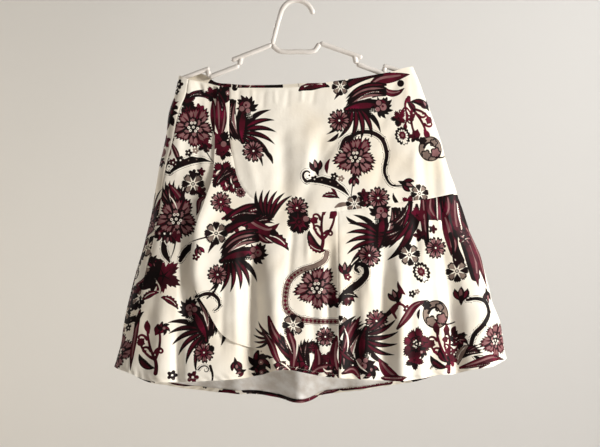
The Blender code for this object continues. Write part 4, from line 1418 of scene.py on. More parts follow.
def tendril(patch, row):
    """A lone black curl."""
    s = thread_line(patch, curl(patch, -1, 60, 2.6, -380), 0.2, "black", 0.5)
    patch.paint("black", both(np.abs(s.away - 0.22) - THIN_LINE * s.mm, up_to(s, 0.7)))


def sash(patch, row):
    """A dark block with wine bars and pale ticks, which are as thick whatever its size."""
    block = both(np.abs(patch.p.real) - 1, np.abs(patch.p.imag) - row.spread / 100)
    patch.paint("black", block)
    x, y = patch.p.real * patch.unit, patch.p.imag * patch.unit
    bars = np.abs((x / BAR_STEP + 0.15 * np.sin(x / 5 + y / 9)) % 1.0 - 0.5) * BAR_STEP - BAR_HALF
    patch.paint("wine", both(bars / patch.unit, block))
    ticks = np.abs((x / TICK_STEP + 0.1 * np.sin(x / 3)) % 1.0 - 0.5) * TICK_STEP - TICK_HALF
    patch.paint("bare", both(ticks / patch.unit, block))


def spot(patch, row):
    """A plain round spot."""
    patch.paint(row.ink or "black", dot(patch.p, 0, 1))


# %% Routes
def ribbon(patch, line, width):
    """A black scrolling band with thorns, a fine outline, and a curl at its end."""
    s = stroke(patch, line)
    half = width / 2 * (0.3 + 0.7 * swell(s.share, 0.35, 0.4))
    thorn = 1.5 * np.clip(np.sin(s.run / 3.6) - 0.86, 0, 1) * 7
    patch.paint("black", np.abs(s.away - half - 2.0 - thorn) - HAIRLINE)
    patch.paint("black", s.away - half - thorn * (s.side > 0))


def garland(patch, line, width):
    """A stone band with a wine chain down its middle, dark edges, fine outlines and thorns."""
    s = stroke(patch, line)
    half = width / 2 * (0.6 + 0.4 * swell(s.share, 0.5, 0.3, 0.3))
    thorn = 1.8 * np.clip(np.sin(s.run / 4.4) - 0.88, 0, 1) * 8
    patch.paint("black", np.abs(s.away - half - 2.2 - thorn) - HAIRLINE)
    patch.paint("wine", s.away - half - 0.5)
    patch.paint("stone", s.away - half + 0.6)
    chain = half * (0.40 + 0.3 * np.sin(s.run * 0.9)) * np.clip(s.share * 6 - 1, 0, 1)
    patch.paint("wine", s.away - chain)


def vine(patch, line, width):
    """A wine stem."""
    s = stroke(patch, line)
    patch.paint("wine", s.away - width / 2 * (0.45 + 0.55 * swell(s.share, 0.3, 0.5, 0.2)))


def frond(patch, line, width):
    """A broad wine frond with a dark edge and a mauve stripe."""
    s = stroke(patch, line)
    half = width / 2 * swell(s.share, 0.45, 0.3, 0.05)
    patch.paint("black", s.away - half)
    patch.paint("wine", s.away - half + 1.0)
    stripe = np.abs(s.away * s.side - half * 0.2) - half * 0.22
    patch.paint("mauve", both(stripe, mid_part(s, 0.35)))


def stem(patch, line, width):
    """A thin black stem."""
    s = stroke(patch, line)
    patch.paint("black", s.away - width / 2 * (1 - 0.5 * s.share))


def slit(patch, line, width):
    """A bare slit between petals."""
    s = stroke(patch, line)
    patch.paint("bare", s.away - width / 2 * swell(s.share, 0.5, 0.2))


def beads(patch, line, width):
    """A wine band with a row of pale beads."""
    s = stroke(patch, line)
    patch.paint("black", s.away - width / 2)
    patch.paint("wine", s.away - width / 2 + 1.0)
    patch.paint("bare", bead_row(s, 0.9, 4.0, 1.2))

# %% [markdown]
# ## Where the motifs lie
#
# Each panel has its own rows, because seams cut through the print and never match it. A motif's row
# gives its kind, its centre and size in millimetres and its turn in degrees. Where they differ from
# the usual ones, its ink, the number and spread of its leaves, and -1 for a mirrored one follow. A
# route's row has a width and the places it runs through. Later rows are printed over earlier ones.

# %% Rows of motifs
Motif = namedtuple("Motif", "draw x z size turn ink count spread flip", defaults=(0, None, 6, 100, 1))
Route = namedtuple("Route", "draw width places")


def design(*lines):
    """Motifs, and routes, whose third item is their places."""
    return [Route(*line) if len(line) == 3 else Motif(*line) for line in lines]


YOKE_PRINT = design(
    (frond, 19, ((120, -150), (140, -136), (165, -131), (193, -126))),
    (frond, 12, ((143, -146), (156, -158), (172, -158), (184, -150))), (spot, 177, -142, 6),
    (ribbon, 7.5, ((84, -248), (96, -232), (121, -227), (143, -238),
                   (152, -262), (149, -300), (160, -319), (180, -321))),
    (ribbon, 7, ((96, -232), (80, -240), (70, -258))), (plume, 104, -186, 62, 267, None, 6, 80),
    (plume, -95, -222, 62, -12, None, 6, 88), (star, 72, -148, 16), (leaf, -122, -156, 15, 80, "black"),
    (spot, -112, -150, 5), (daisy, 70, -207, 21), (leaf, 58, -236, 13, 215), (daisy, -79, -260, 21, 10),
    (leaf, -54, -272, 15, 305), (feather, 28, -151, 27, 4), (branch, 208, -202, 41, 206),
    (branch, 186, -196, 28, 176), (maple, 173, -203, 15, 40), (tulip, 222, -180, 12, 30),
    (button, 180, -234, 17, 20), (maple, 201, -235, 12, 100), (bulb, 229, -256, 23),
    (carnation, 98, -271, 33), (tulip, 95, -311, 12, 180),
    (stem, 2.4, ((93, -318), (91, -332), (90, -345))), (tulip, 186, -318, 15, 250),
    (scroll, 49, -326, 44, -20), (tulip, 30, -288, 15, 12), (leaf, 52, -286, 14, 78, "wine"),
    (starlet, 27, -309, 7), (starlet, 61, -304, 7), (starlet, 73, -308, 6, 0, "stone"),
    (feather, 56, -341, 15, -8), (spray, -58, -372, 52, 76, None, 6, 56), (daisy, -3.5, -359, 21, 15),
    (leaf, 76, -357, 15, 8, "stone"), (leaf, 60, -334, 10, 300, "wine"), (star, 96, -352, 16),
    (clump, 116, -350, 11), (maple, 112, -337, 13, 20), (daisy, 137, -342, 21, 5),
    (leaf, 169, -343, 13, 118), (maple, 190, -350, 15, 70), (star, 209, -334, 17, 10),
)
CENTRE_PRINT = design(
    (clump, -126, -160, 20, 30), (sheath, -142, -172, 24, 282), (tulip, -152, -160, 17, 20),
    (leaf, -127, -158, 16, 95, "black"), (frond, 15, ((-142, -166), (-141, -196), (-138, -236))),
    (frond, 12, ((-129, -182), (-132, -210), (-137, -240))), (maple, -137, -246, 25, 200),
    (maple, -131, -262, 16, 120), (spot, -131, -248, 5, 0, "mauve"),
    (frond, 11, ((-121, -238), (-113, -258), (-107, -282))), (bloom, -131, -302, 27, 20),
    (bloom, -119, -314, 22, 80), (sheath, -128, -306, 24, 40), (daisy, -135, -349, 19, 8),
    (daisy, -101, -332, 10),
    (frond, 30, ((-128, -360), (-108, -374), (-84, -378), (-58, -372), (-30, -346))),
    (frond, 15, ((-132, -378), (-112, -370), (-88, -358), (-62, -352))), (sheath, -92, -372, 34, 8),
    (sheath, -66, -384, 26, 20), (maple, -112, -392, 14, 20), (bloom, -76, -392, 16, 40),
    (beads, 8, ((-84, -364), (-66, -360), (-46, -360))),
    (frond, 11, ((-72, -386), (-70, -404), (-58, -416), (-44, -420))), (feather, -38, -420, 25, -34),
    (frond, 20, ((-96, -372), (-72, -392), (-52, -398), (-34, -386))), (spot, -44, -402, 6),
    (plume, -112, -446, 62, 276, None, 6, 66), (star, -143, -403, 21),
    (stem, 3, ((-160, -410), (-180, -416), (-186, -418))), (tulip, -172, -432, 11, 200),
    (starlet, -177, -444, 7, 0, "wine"), (daisy, -140, -474, 19, 12),
    (stem, 4.5, ((-140, -492), (-146, -503), (-158, -515))), (spray, -58, -372, 52, 76, None, 6, 56),
    (daisy, -7, -354, 21, 15), (pink, 0, -383, 22, 8), (spot, 12, -378, 5, 0, "mauve"),
    (branch, 40, -394, 42, -6), (feather, 29, -424, 17, 150),
    (garland, 9.5, ((48, -436), (45, -447), (30, -458), (4, -467), (-16, -483),
                    (-23, -508), (-21, -533), (-6, -547), (24, -553), (68, -554))),
    (carnation, 31, -497, 34), (maple, 60, -520, 14, 90), (star, -10, -560, 20),
    (daisy, 45, -580, 18, 20), (spray, -52, -584, 32, 168, None, 5, 76),
    (frond, 16, ((-52, -546), (-44, -572), (-26, -598), (-8, -622))),
    (frond, 12, ((-62, -570), (-48, -592), (-38, -616), (-26, -634))), (clump, -64, -626, 23),
    (clump, -46, -642, 15, 20), (sheath, -14, -600, 34, 122), (sheath, 14, -612, 32, 96),
    (sheath, 34, -628, 24, 60), (bloom, 2, -636, 17, 20), (pink, 24, -598, 12), (leaf, -36, -634, 20, 40),
    (leaf, 62, -612, 17, 60), (maple, 49, -617, 13, 150),
    (frond, 17, ((-20, -566), (-10, -600), (-12, -648))),
    (frond, 15, ((30, -596), (33, -620), (28, -652))),
    (frond, 16, ((64, -580), (60, -612), (68, -652))),
    (frond, 15, ((18, -646), (36, -634), (56, -634), (70, -650))), (bloom, -30, -636, 17, 20),
    (clump, 54, -640, 13, 70), (clump, 6, -644, 14, 40),
    (slit, 3.0, ((-10, -566), (-3, -592), (-6, -620))),
    (slit, 2.6, ((-34, -560), (-20, -588), (-10, -612))),
    (slit, 2.4, ((22, -604), (22, -622), (15, -642))), (slit, 3.0, ((40, -632), (46, -638), (58, -637))),
    (slit, 2.4, ((-34, -622), (-24, -628), (-12, -640))),
    (slit, 2.2, ((68, -592), (66, -612), (70, -632))),
    (ribbon, 6.5, ((-174, -514), (-164, -508), (-148, -508), (-138, -518), (-138, -530), (-145, -536))),
)
RIGHT_PRINT = design(
    (sash, 247, -358, 37, 0, None, 6, 60),
    (stem, 26, ((262, -345), (266, -385), (270, -430), (280, -450))),
    (stem, 34, ((284, -360), (289, -400), (297, -440), (305, -478))),
    (stem, 16, ((217, -370), (218, -400), (222, -424))),
    (frond, 13, ((214, -336), (215, -372), (220, -418))),
    (frond, 15, ((229, -336), (226, -360), (240, -382))),
    (frond, 15, ((257, -336), (258, -360), (246, -382))),
    (frond, 16, ((272, -338), (270, -372), (278, -412))),
    (frond, 20, ((270, -394), (286, -404), (300, -432), (309, -496))),
    (frond, 18, ((286, -384), (302, -410), (314, -444), (327, -498))),
    (beads, 8, ((277, -350), (280, -372), (283, -396))),
    (frond, 10, ((262, -402), (270, -420), (266, -446))), (maple, 231, -396, 9),
    (plume, 137, -406, 62, 182, None, 6, 70, -1), (leaf, 92, -379, 13, 150), (sheath, 168, -396, 34, 215),
    (sheath, 176, -372, 30, 235), (maple, 204, -372, 17, 30), (maple, 209, -406, 13, 110),
    (daisy, 121, -441, 22, 10), (stem, 5, ((104, -448), (95, -455), (88, -464))), (tulip, 79, -466, 15),
    (clump, 84, -515, 14),
    (ribbon, 12, ((62, -528), (74, -512), (90, -498), (106, -486), (116, -472),
                  (112, -458), (102, -456), (97, -464), (103, -470))),
    (starlet, 84, -478, 7, 0, "wine"), (feather, 88, -512, 15, -8, "black"), (maple, 80, -521, 8),
    (star, 71, -558, 15), (frond, 18, ((250, -368), (256, -392), (262, -420), (264, -442))),
    (stem, 7, ((262, -404), (267, -428), (268, -450))), (clump, 120, -636, 19, 20),
    (daisy, 133, -553, 21, 5), (leaf, 159, -541, 15, 38), (star, 190, -440, 20, 8),
    (button, 211, -470, 19, 28), (daisy, 236, -428, 20, 20), (star, 274, -468, 20, 4),
    (bloom, 290, -412, 15), (tulip, 326, -512, 14, 190), (tulip, 281, -510, 16),
    (ribbon, 8, ((290, -518), (304, -516), (320, -522), (327, -540), (316, -560),
                 (300, -578), (297, -604), (312, -622), (338, -620))),
    (tulip, 166, -512, 15, 22), (leaf, 170, -530, 12, 60, "wine"), (leaf, 176, -496, 14, 118, "wine"),
    (vine, 5, ((166, -548), (160, -532), (170, -524), (182, -530), (186, -542))), (starlet, 194, -507, 7),
    (starlet, 203, -503, 5, 0, "stone"), (starlet, 184, -532, 7, 0, "wine"),
    (frond, 14, ((168, -566), (184, -546), (198, -528), (222, -517))), (leaf, 207, -541, 10, 80),
    (bulb, 236, -542, 26), (plume, 113, -587, 62, 2, None, 6, 84, -1), (sheath, 84, -603, 28, 122),
    (sheath, 92, -572, 28, 60), (carnation, 201, -592, 24, 30, "wine"), (clump, 208, -606, 13),
    (branch, 246, -600, 44, 16), (branch, 262, -598, 36, -14), (clump, 276, -586, 17),
    (bloom, 277, -586, 11), (sheath, 292, -612, 26, 20),
    (frond, 15, ((280, -634), (304, -626), (330, -618), (362, -622))),
    (feather, 286, -610, 20, 60, "stone"), (maple, 264, -621, 13), (maple, 197, -620, 18, 60),
    (carnation, 342, -588, 28), (frond, 18, ((138, -620), (152, -640), (178, -656))),
    (frond, 14, ((142, -650), (162, -652), (184, -648))),
    (frond, 13, ((74, -642), (92, -636), (106, -654))),
    (frond, 14, ((76, -606), (86, -576), (106, -544))), (tendril, 236, -634, 10),
    (slit, 2.6, ((76, -560), (84, -584), (82, -612))),
    (slit, 2.6, ((96, -616), (104, -630), (120, -642))),
    (slit, 2.4, ((280, -620), (300, -612), (320, -612))),
    (slit, 2.2, ((276, -350), (279, -376), (286, -398))), (leaf, 318, -632, 12, 20, "wine"),
)
LEFT_PRINT = design(
    (maple, -193, -172, 15, 100),
    (frond, 9, ((-200, -170), (-182, -161), (-166, -162), (-150, -174))),
    (maple, -202, -170, 13, 60), (sheath, -178, -163, 18, 10), (leaf, -197, -162, 12, 95, "wine"),
    (leaf, -157, -166, 13, 300, "black"), (maple, -152, -160, 15, 40),
    (frond, 13, ((-150, -172), (-148, -200), (-147, -232))), (pink, -192, -190, 14, 30),
    (maple, -174, -186, 11, 30), (maple, -229, -243, 14, 20), (spot, -230, -262, 8, 0, "mauve"),
    (clump, -234, -279, 11), (frond, 9, ((-222, -246), (-214, -262), (-206, -284))),
    (carnation, -184, -218, 33), (maple, -164, -250, 15, 70), (tulip, -160, -254, 9, 210),
    (stem, 2.6, ((-168, -246), (-158, -266), (-145, -284))), (starlet, -192, -263, 7),
    (starlet, -180, -259, 6, 0, "stone"), (starlet, -219, -280, 8, 0, "wine"),
    (scroll, -189, -289, 42, 14), (starlet, -206, -276, 8), (maple, -170, -296, 9, 10),
    (starlet, -184, -300, 9), (star, -184, -317, 21), (maple, -170, -331, 12, 40),
    (sheath, -218, -346, 38, 112), (sheath, -204, -350, 34, 96),
    (frond, 12, ((-226, -318), (-212, -334), (-200, -352), (-190, -372))),
    (leaf, -193, -352, 26, 106),
    (frond, 9, ((-160, -338), (-172, -346), (-175, -362), (-178, -372))),
    (carnation, -213, -378, 34), (maple, -214, -410, 13, 30), (tulip, -228, -410, 12, 170),
    (stem, 2.8, ((-214, -418), (-217, -432), (-222, -446))),
    (ribbon, 11, ((-236, -420), (-233, -436), (-224, -452))),
    (ribbon, 10, ((-206, -450), (-198, -434), (-184, -422), (-160, -408))), (star, -269, -447, 16),
    (clump, -244, -404, 14, 40), (clump, -262, -482, 26, 10), (clump, -250, -458, 18, 50),
    (maple, -234, -476, 34, 330), (spot, -264, -486, 13), (starlet, -270, -466, 10, 0, "stone"),
    (leaf, -276, -500, 18, 60), (feather, -222, -524, 18, -38), (feather, -256, -512, 17, 22),
    (starlet, -280, -522, 12), (clump, -186, -534, 19, 20),
    (ribbon, 8, ((-178, -512), (-168, -506), (-152, -508), (-140, -520), (-141, -534), (-150, -538))),
    (stem, 6, ((-178, -494), (-176, -504), (-170, -510))), (plume, -170, -568, 62, 215, None, 6, 84, -1),
    (daisy, -163, -607, 19, 5), (spot, -150, -600, 5),
    (slit, 2.6, ((-250, -480), (-240, -500), (-246, -520))),
    (slit, 2.4, ((-226, -336), (-216, -350), (-210, -366))), (branch, -255, -600, 46, 12),
    (frond, 13, ((-276, -536), (-284, -568), (-290, -604), (-293, -640))),
    (leaf, -276, -552, 17, 60), (clump, -233, -566, 13), (clump, -68, -624, 23),
    (clump, -66, -642, 17, 30), (tulip, -108, -628, 13, 190), (tulip, -100, -640, 10, 110),
    (tendril, -158, -636, 14), (stem, 5, ((-152, -630), (-148, -644), (-149, -660))),
    (starlet, -182, -649, 11, 0, "wine"), (starlet, -218, -646, 9),
)
# What shows of the back where it comes round the left edge
SIDE_PRINT = design(
    (starlet, -206, -143, 9), (starlet, -210, -156, 6), (maple, -216, -176, 10),
    (maple, -229, -243, 14, 20), (spot, -234, -262, 8, 0, "mauve"), (clump, -236, -279, 11),
    (carnation, -262, -386, 20), (maple, -270, -420, 14), (button, -280, -470, 13),
    (clump, -284, -505, 16), (star, -298, -540, 17), (clump, -290, -520, 15, 40),
    (sheath, -268, -404, 18, 100), (clump, -276, -448, 15, 20), (maple, -308, -572, 12),
    (frond, 15, ((-317, -588), (-318, -612), (-323, -644))), (clump, -318, -618, 10),
)
# The edge of the back's hem, which shows below the front
HEM_PRINT = design(
    (frond, 10, ((-237, -666), (-205, -671), (-178, -675))), (starlet, -168, -677, 5),
    (frond, 9, ((-128, -680), (-122, -681), (-115, -682))),
    (stem, 10, ((-97, -682), (-60, -686), (-20, -692))),
    (frond, 10, ((0, -694), (18, -694), (36, -692))),
    (frond, 9, ((36, -690), (56, -685), (76, -681))),
    (beads, 9, ((78, -680), (120, -674), (163, -669))), (starlet, 185, -666, 5),
    (stem, 10, ((204, -663), (222, -657), (242, -649))),
    (frond, 9, ((246, -651), (262, -646), (278, -640))),
    (stem, 9, ((284, -638), (304, -633), (320, -629))),
    (frond, 9, ((326, -628), (340, -624), (356, -620))),
)
FACING_PRINT = design(
    (stem, 24, ((-148, -143), (-116, -143), (-80, -143), (-34, -145))),
    (frond, 12, ((-146, -146), (-132, -141), (-114, -145))),
    (frond, 11, ((-108, -141), (-88, -145), (-66, -143))), (clump, -136, -146, 12),
    (clump, -104, -145, 13, 30), (maple, -70, -146, 11),
    (slit, 2.0, ((-122, -152), (-118, -146), (-119, -138))),
    (slit, 2.0, ((-112, -152), (-109, -146), (-107, -138))),
    (slit, 1.6, ((-92, -150), (-86, -146), (-84, -138))), (vine, 5, ((4, -146), (24, -140), (52, -146))),
)
# How far patches reach: shares of a motif's size and of a route's width, and millimetres more
REACH, ROUTE_REACH, REACH_MORE = 1.55, 1.5, 4.0
BOLT_SHIFT, TURNED_SHIFT = 0.20 + 0.018j, 0.17 - 0.83j  # where on the bolt the two backs are cut


def print_rows(canvas, rows):
    """Draw some rows on a canvas, each in a patch just large enough for it."""
    for row in rows:
        if isinstance(row, Motif):
            reach = REACH * row.size + REACH_MORE
            patch = Patch(canvas, complex(row.x, row.z), reach, row.turn, row.size)
            if len(patch.p):
                row.draw(patch, row)
        else:
            line = through(row.places)
            middle = complex(line.real.min() + line.real.max(), line.imag.min() + line.imag.max()) / 2
            reach = np.abs(line - middle).max() + ROUTE_REACH * row.width + REACH_MORE
            patch = Patch(canvas, middle, reach)
            if len(patch.p):
                row.draw(patch, line - middle, row.width)


def as_it_lies(spot, at):
    """The front pieces take the print where they lie on it."""
    return spot


def from_centre_back(spot):
    """How far a place lies round the back from its middle, as seen from behind."""
    return spot.real - print_place(np.full(len(spot), CENTRE_BACK_Q), spot.imag).real


def bolt(spot, at):
    """The right back is cut from where the bolt shows the middle of the design."""
    return from_centre_back(spot) + 1j * spot.imag + BOLT_SHIFT


def bolt_turned(spot, at):
    """The left back is cut the other way up."""
    return TURNED_SHIFT - from_centre_back(spot) - 1j * spot.imag


def round_left_edge(spot, at):
    """Places measured on from the left edge, so that its rows lie as seen from the front."""
    turn = print_place(np.full(len(spot), LEFT_EDGE_Q), spot.imag).real
    return spot.real - turn + section("left", spot.imag) + 1j * spot.imag


def as_seen(spot, at):
    """Places as seen from straight in front."""
    return at[:, 0] + 1j * at[:, 2]


WHOLE_PRINT = YOKE_PRINT + CENTRE_PRINT + RIGHT_PRINT + LEFT_PRINT
PRINTS = {
    "yoke": ((YOKE_PRINT, as_it_lies),),
    "centre": ((CENTRE_PRINT, as_it_lies),),
    "right": ((RIGHT_PRINT, as_it_lies),),
    "left": ((LEFT_PRINT, as_it_lies),),
    "back_right": ((WHOLE_PRINT, bolt), (HEM_PRINT, as_seen)),
    "back_left": ((WHOLE_PRINT, bolt_turned), (SIDE_PRINT, round_left_edge), (HEM_PRINT, as_seen)),
    "facing": ((FACING_PRINT, as_seen),),
}


def print_cloth(mesh, name):
    """Print a piece of cloth, and keep its inks on the mesh in metres."""
    count = len(mesh.vertices)
    flat, at = np.empty((count, 3), np.float32), np.empty((count, 3), np.float32)
    mesh.attributes["cloth_place"].data.foreach_get("vector", flat.ravel())
    mesh.vertices.foreach_get("co", at.ravel())
    flat, at = flat.astype(float), at.astype(float)
    canvas = Canvas(np.zeros(count, complex))
    for rows, lay in PRINTS[name]:
        canvas.places = lay(flat[:, 0] + 1j * flat[:, 1], at) / MILLIMETRE
        print_rows(canvas, rows)
    for ink, distance in zip(INKS, canvas.inks):
        field = mesh.attributes.new(ink, "FLOAT", "POINT")
        field.data.foreach_set("value", distance * MILLIMETRE)

# %% [markdown]
# ## Sew the skirt
#
# Each panel is one closed skin, with its printed layer fine and its reverse coarse. At the hem the
# cloth is turned up on the inside, so a narrow strip of the print shows there. The front pieces take
# the print where it lies on them, and the two back pieces take it from elsewhere on the bolt.

# %% Panels
BACK_FINE = 0.0019
SHARP_ANGLE = math.radians(50)
HANGER, BODY = "hanger", "skirt"
MAP_LEVELS, MAP_PLACES = np.linspace(-0.10, -0.72, 63), np.linspace(-1.02, 3.42, 889)  # z and q


def ways_round():
    """How far round the tube each place of the map lies, from x = 0."""
    grid = tube_point(MAP_PLACES[None, :], MAP_LEVELS[:, None])
    steps = np.linalg.norm(np.diff(grid, axis=1), axis=2)
    run = np.concatenate([np.zeros((len(MAP_LEVELS), 1)), np.cumsum(steps, axis=1)], axis=1)
    middle = int(np.argmin(np.abs(MAP_PLACES)))
    return run + (grid[:, middle, 0:1] - run[:, middle : middle + 1])


WAYS_ROUND = ways_round()


def on_map(value, scale):
    """The row or column of the map before a value, never the last, and how far past it the value is."""
    place = np.clip((value - scale[0]) / (scale[1] - scale[0]), 0, len(scale) - 1.001)
    return place.astype(int), place % 1


def print_place(q, z):
    """Where a point of the tube lies on the unrolled cloth: its way round the tube from x = 0, and z."""
    (i, a), (j, b) = on_map(z, MAP_LEVELS), on_map(q, MAP_PLACES)
    upper = WAYS_ROUND[i, j] * (1 - b) + WAYS_ROUND[i, j + 1] * b
    lower = WAYS_ROUND[i + 1, j] * (1 - b) + WAYS_ROUND[i + 1, j + 1] * b
    return upper * (1 - a) + lower * a + 1j * z


def skin_mesh(name, pieces):
    """One mesh from closed skins. Each of pieces is (points, faces, places, materials of the faces)."""
    points, faces, places, slots = [], [], [], []
    for skin_points, skin_faces, skin_places, skin_slots in pieces:
        shift = sum(len(part) for part in points)
        points.append(skin_points)
        faces += [tuple(i + shift for i in face) for face in skin_faces]
        places.append(skin_places)
        slots += skin_slots
    mesh = bpy.data.meshes.new(name)
    mesh.from_pydata(np.concatenate(points).tolist(), [], faces)
    for material in (SATEEN, REVERSE_SIDE):
        mesh.materials.append(material)
    mesh.polygons.foreach_set("material_index", slots)
    mesh.shade_smooth()
    mesh.set_sharp_from_angle(angle=SHARP_ANGLE)
    spot = np.concatenate(places)
    vectors = np.stack([spot.real, spot.imag, np.zeros(len(spot))], axis=-1)
    mesh.attributes.new("cloth_place", "FLOAT_VECTOR", "POINT").data.foreach_set("vector", vectors.ravel())
    return mesh


def hang(name, mesh, node=None):
    """Put a piece into the scene: fixed to the skirt, and in place of its solid."""
    piece = bpy.data.objects.new(name, mesh)
    scene.collection.objects.link(piece)
    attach(piece, BODY)
    if node:
        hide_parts(node)
    return piece


def turned_hem(rise, hem_line, spacing):
    """The strip that is turned up inside a panel, with the print that went round the hem."""
    strip = np.concatenate([hem_line, hem_line[::-1] + np.array([0.0, HEM_TURN])])
    layers = panel_layers(strip, rise, [], hem_line, WALL, spacing, spacing, WALL + HEM_GAP)
    points, faces = shell(*layers, len(strip))
    q, z = np.concatenate([part.places for part in layers]).T
    return points, faces, print_place(q, 2 * hem_height(q) - z), [0] * len(faces)


def cloth_piece(node, outline, rise, sewn_lines, hem_line, spacing, print_map):
    """Cut one panel with its turned hem, print it and hang it in its solid's place."""
    rim = len(outline)
    outer, inner = panel_layers(outline, rise, sewn_lines, hem_line, WALL, spacing, COARSE)
    points, faces = shell(outer, inner, rim)
    places = print_place(*np.concatenate([outer.places, inner.places]).T)
    slots = [0] * len(outer.faces) + [1] * len(inner.faces) + [0] * rim
    skins = [(points, faces, places, slots)]
    if hem_line is not None:
        skins.append(turned_hem(rise, hem_line, spacing))
    mesh = skin_mesh(node, skins)
    print_cloth(mesh, print_map)
    piece = hang(f"{node}_cloth", mesh, node)
    declare_sheet(piece, outline, outer)
    in_all = sum(len(face) - 2 for skin in skins for face in skin[1])
    print(f"{node}: {len(outer.faces)} printed triangles, {in_all} in all")


def declare_sheet(piece, outline, outer):
    """Measure how large the piece was cut: the box round it when it is unrolled, and the sides of its
    printed triangles. The measures are not kept.
    """
    flat = print_place(*outline.T)
    width, length = np.ptp(flat.real), np.ptp(flat.imag)
    corners = outer.points[outer.faces]
    sides = corners[:, 1] - corners[:, 0], corners[:, 2] - corners[:, 0]


left_hem = hem(left_seam[-1, 0], hidden[-1, 0])
centre_hem = hem(free_edge[-1, 0], upright[-1, 0])
right_hem = hem(upright[-1, 0], RIGHT_SEAM_Q)
right_back_hem = hem(RIGHT_SEAM_Q, CENTRE_BACK_Q)
left_back_hem = hem(CENTRE_BACK_Q, left_from_back[-1, 0])
right_back_seam = np.concatenate([right_upper[:-1], right_lower])
yoke_outline = joined(yoke, right_upper[::-1], waist(RIGHT_SEAM_Q, yoke[0, 0]))
left_outline = joined(
    left_seam, left_hem, hidden[::-1], yoke[: parting + 1][::-1], waist(yoke[0, 0], left_seam[0, 0])
)
centre_outline = joined(
    free_edge, centre_hem, upright[::-1], yoke[: crossing + 1][::-1], waist(yoke[0, 0], free_edge[0, 0])
)
right_outline = joined(upright, right_hem, right_lower[::-1], yoke[crossing:][::-1])
right_back_outline = joined(
    right_back_seam, right_back_hem, centre_back[::-1], waist(CENTRE_BACK_Q, RIGHT_SEAM_Q)
)
left_back_outline = joined(
    centre_back, left_back_hem, left_from_back[::-1], waist(left_from_back[0, 0], CENTRE_BACK_Q)
)
left_back_seams = [centre_back, left_from_back]
for row in (
    ("yoke_front", yoke_outline, flush, [yoke], None, FINE, "yoke"),
    ("front_left", left_outline, under_lap, [left_seam], left_hem, FINE, "left"),
    ("flounce_centre", centre_outline, lap_lift, [yoke, upright], centre_hem, FINE, "centre"),
    ("flounce_right", right_outline, flush, [yoke, upright], right_hem, FINE, "right"),
    ("back_right", right_back_outline, flush, [centre_back], right_back_hem, BACK_FINE, "back_right"),
    ("back_left", left_back_outline, flush, left_back_seams, left_back_hem, BACK_FINE, "back_left"),
):
    cloth_piece(*row)

# %% [markdown]
# ## The facing inside the waist
#
# Over the front waist edge one sees a strip of the back's inside. A facing cut from the printed cloth
# covers it, split at the zip. Its right side is the one that looks inwards, so the print goes there.

# %% Facings
FACING_WALL, FACING_DEPTH, FACING_DROP = 0.0010, 0.034, 0.0006
FACING_END, FACING_SPLIT = 0.13, 0.004  # q left free at each side edge and at the zip


def facing(name, node, start, stop):
    """Cut one facing from the waist down, against the inside of the back."""
    top = waist(start, stop) - np.array([0.0, FACING_DROP])
    low = top - np.array([0.0, FACING_DEPTH])
    ends = down(start, top[0, 1], low[0, 1]), down(stop, top[-1, 1], low[-1, 1])
    strip = joined(ends[0], low, ends[1][::-1], top[::-1])
    outer, inner = panel_layers(strip, flush, [], None, FACING_WALL, BACK_FINE, BACK_FINE, LAYER)
    points, faces = shell(outer, inner, len(strip))
    places = print_place(*np.concatenate([outer.places, inner.places]).T)
    mesh = skin_mesh(node, [(points, faces, places, [0] * len(faces))])
    print_cloth(mesh, "facing")
    declare_sheet(hang(name, mesh, node), strip, outer)


facing("right_facing_cloth", "facing_right", RIGHT_EDGE_Q + FACING_END, CENTRE_BACK_Q - FACING_SPLIT)
facing("left_facing_cloth", "facing_left", CENTRE_BACK_Q + FACING_SPLIT, LEFT_EDGE_Q - FACING_END)

# %% [markdown]
# ## Hem stitches
#
# The turned hem is held by a line of machine stitches a few millimetres above the edge. Each stitch is
# a short flat bead of thread that dips into the cloth at both ends. A row is walked along the hem at
# even steps, on the folded cloth itself, so the stitches follow every wave.

# %% Stitches
STITCH_UP, STITCH_STEP, STITCH_LONG, STITCH_THICK = 0.0055, 0.0032, 0.0024, 0.00034
STITCH_STAND, STITCH_FLATNESS = 0.00012, 0.7
# Place along a stitch and its thickness there, in shares
BEAD = ((-0.5, 0.25), (-0.25, 0.9), (0.25, 0.9), (0.5, 0.25))
BEAD_SIDES = 6
SEEN_TENTHS = 7  # of the left front's hem: the rest lies under the flounce


def hem_row(hem_line, rise):
    """Points along the outside of a hem, and the cloth's outward direction at each."""
    line = hem_line[2:-2] + np.array([0.0, STITCH_UP])
    q, z = line.T
    flat = plan(line)
    normal, _ = tube_normal(q, z)
    out = standing(rise, [], hem_line)(q, z, flat) + fold_depth(q, z)
    points = tube_point(q, z) + normal * (out + STITCH_STAND)[:, None]
    run = run_along(points)
    marks = np.arange(STITCH_STEP, run[-1], STITCH_STEP)
    return read_along(marks, run, points), read_along(marks, run, normal)


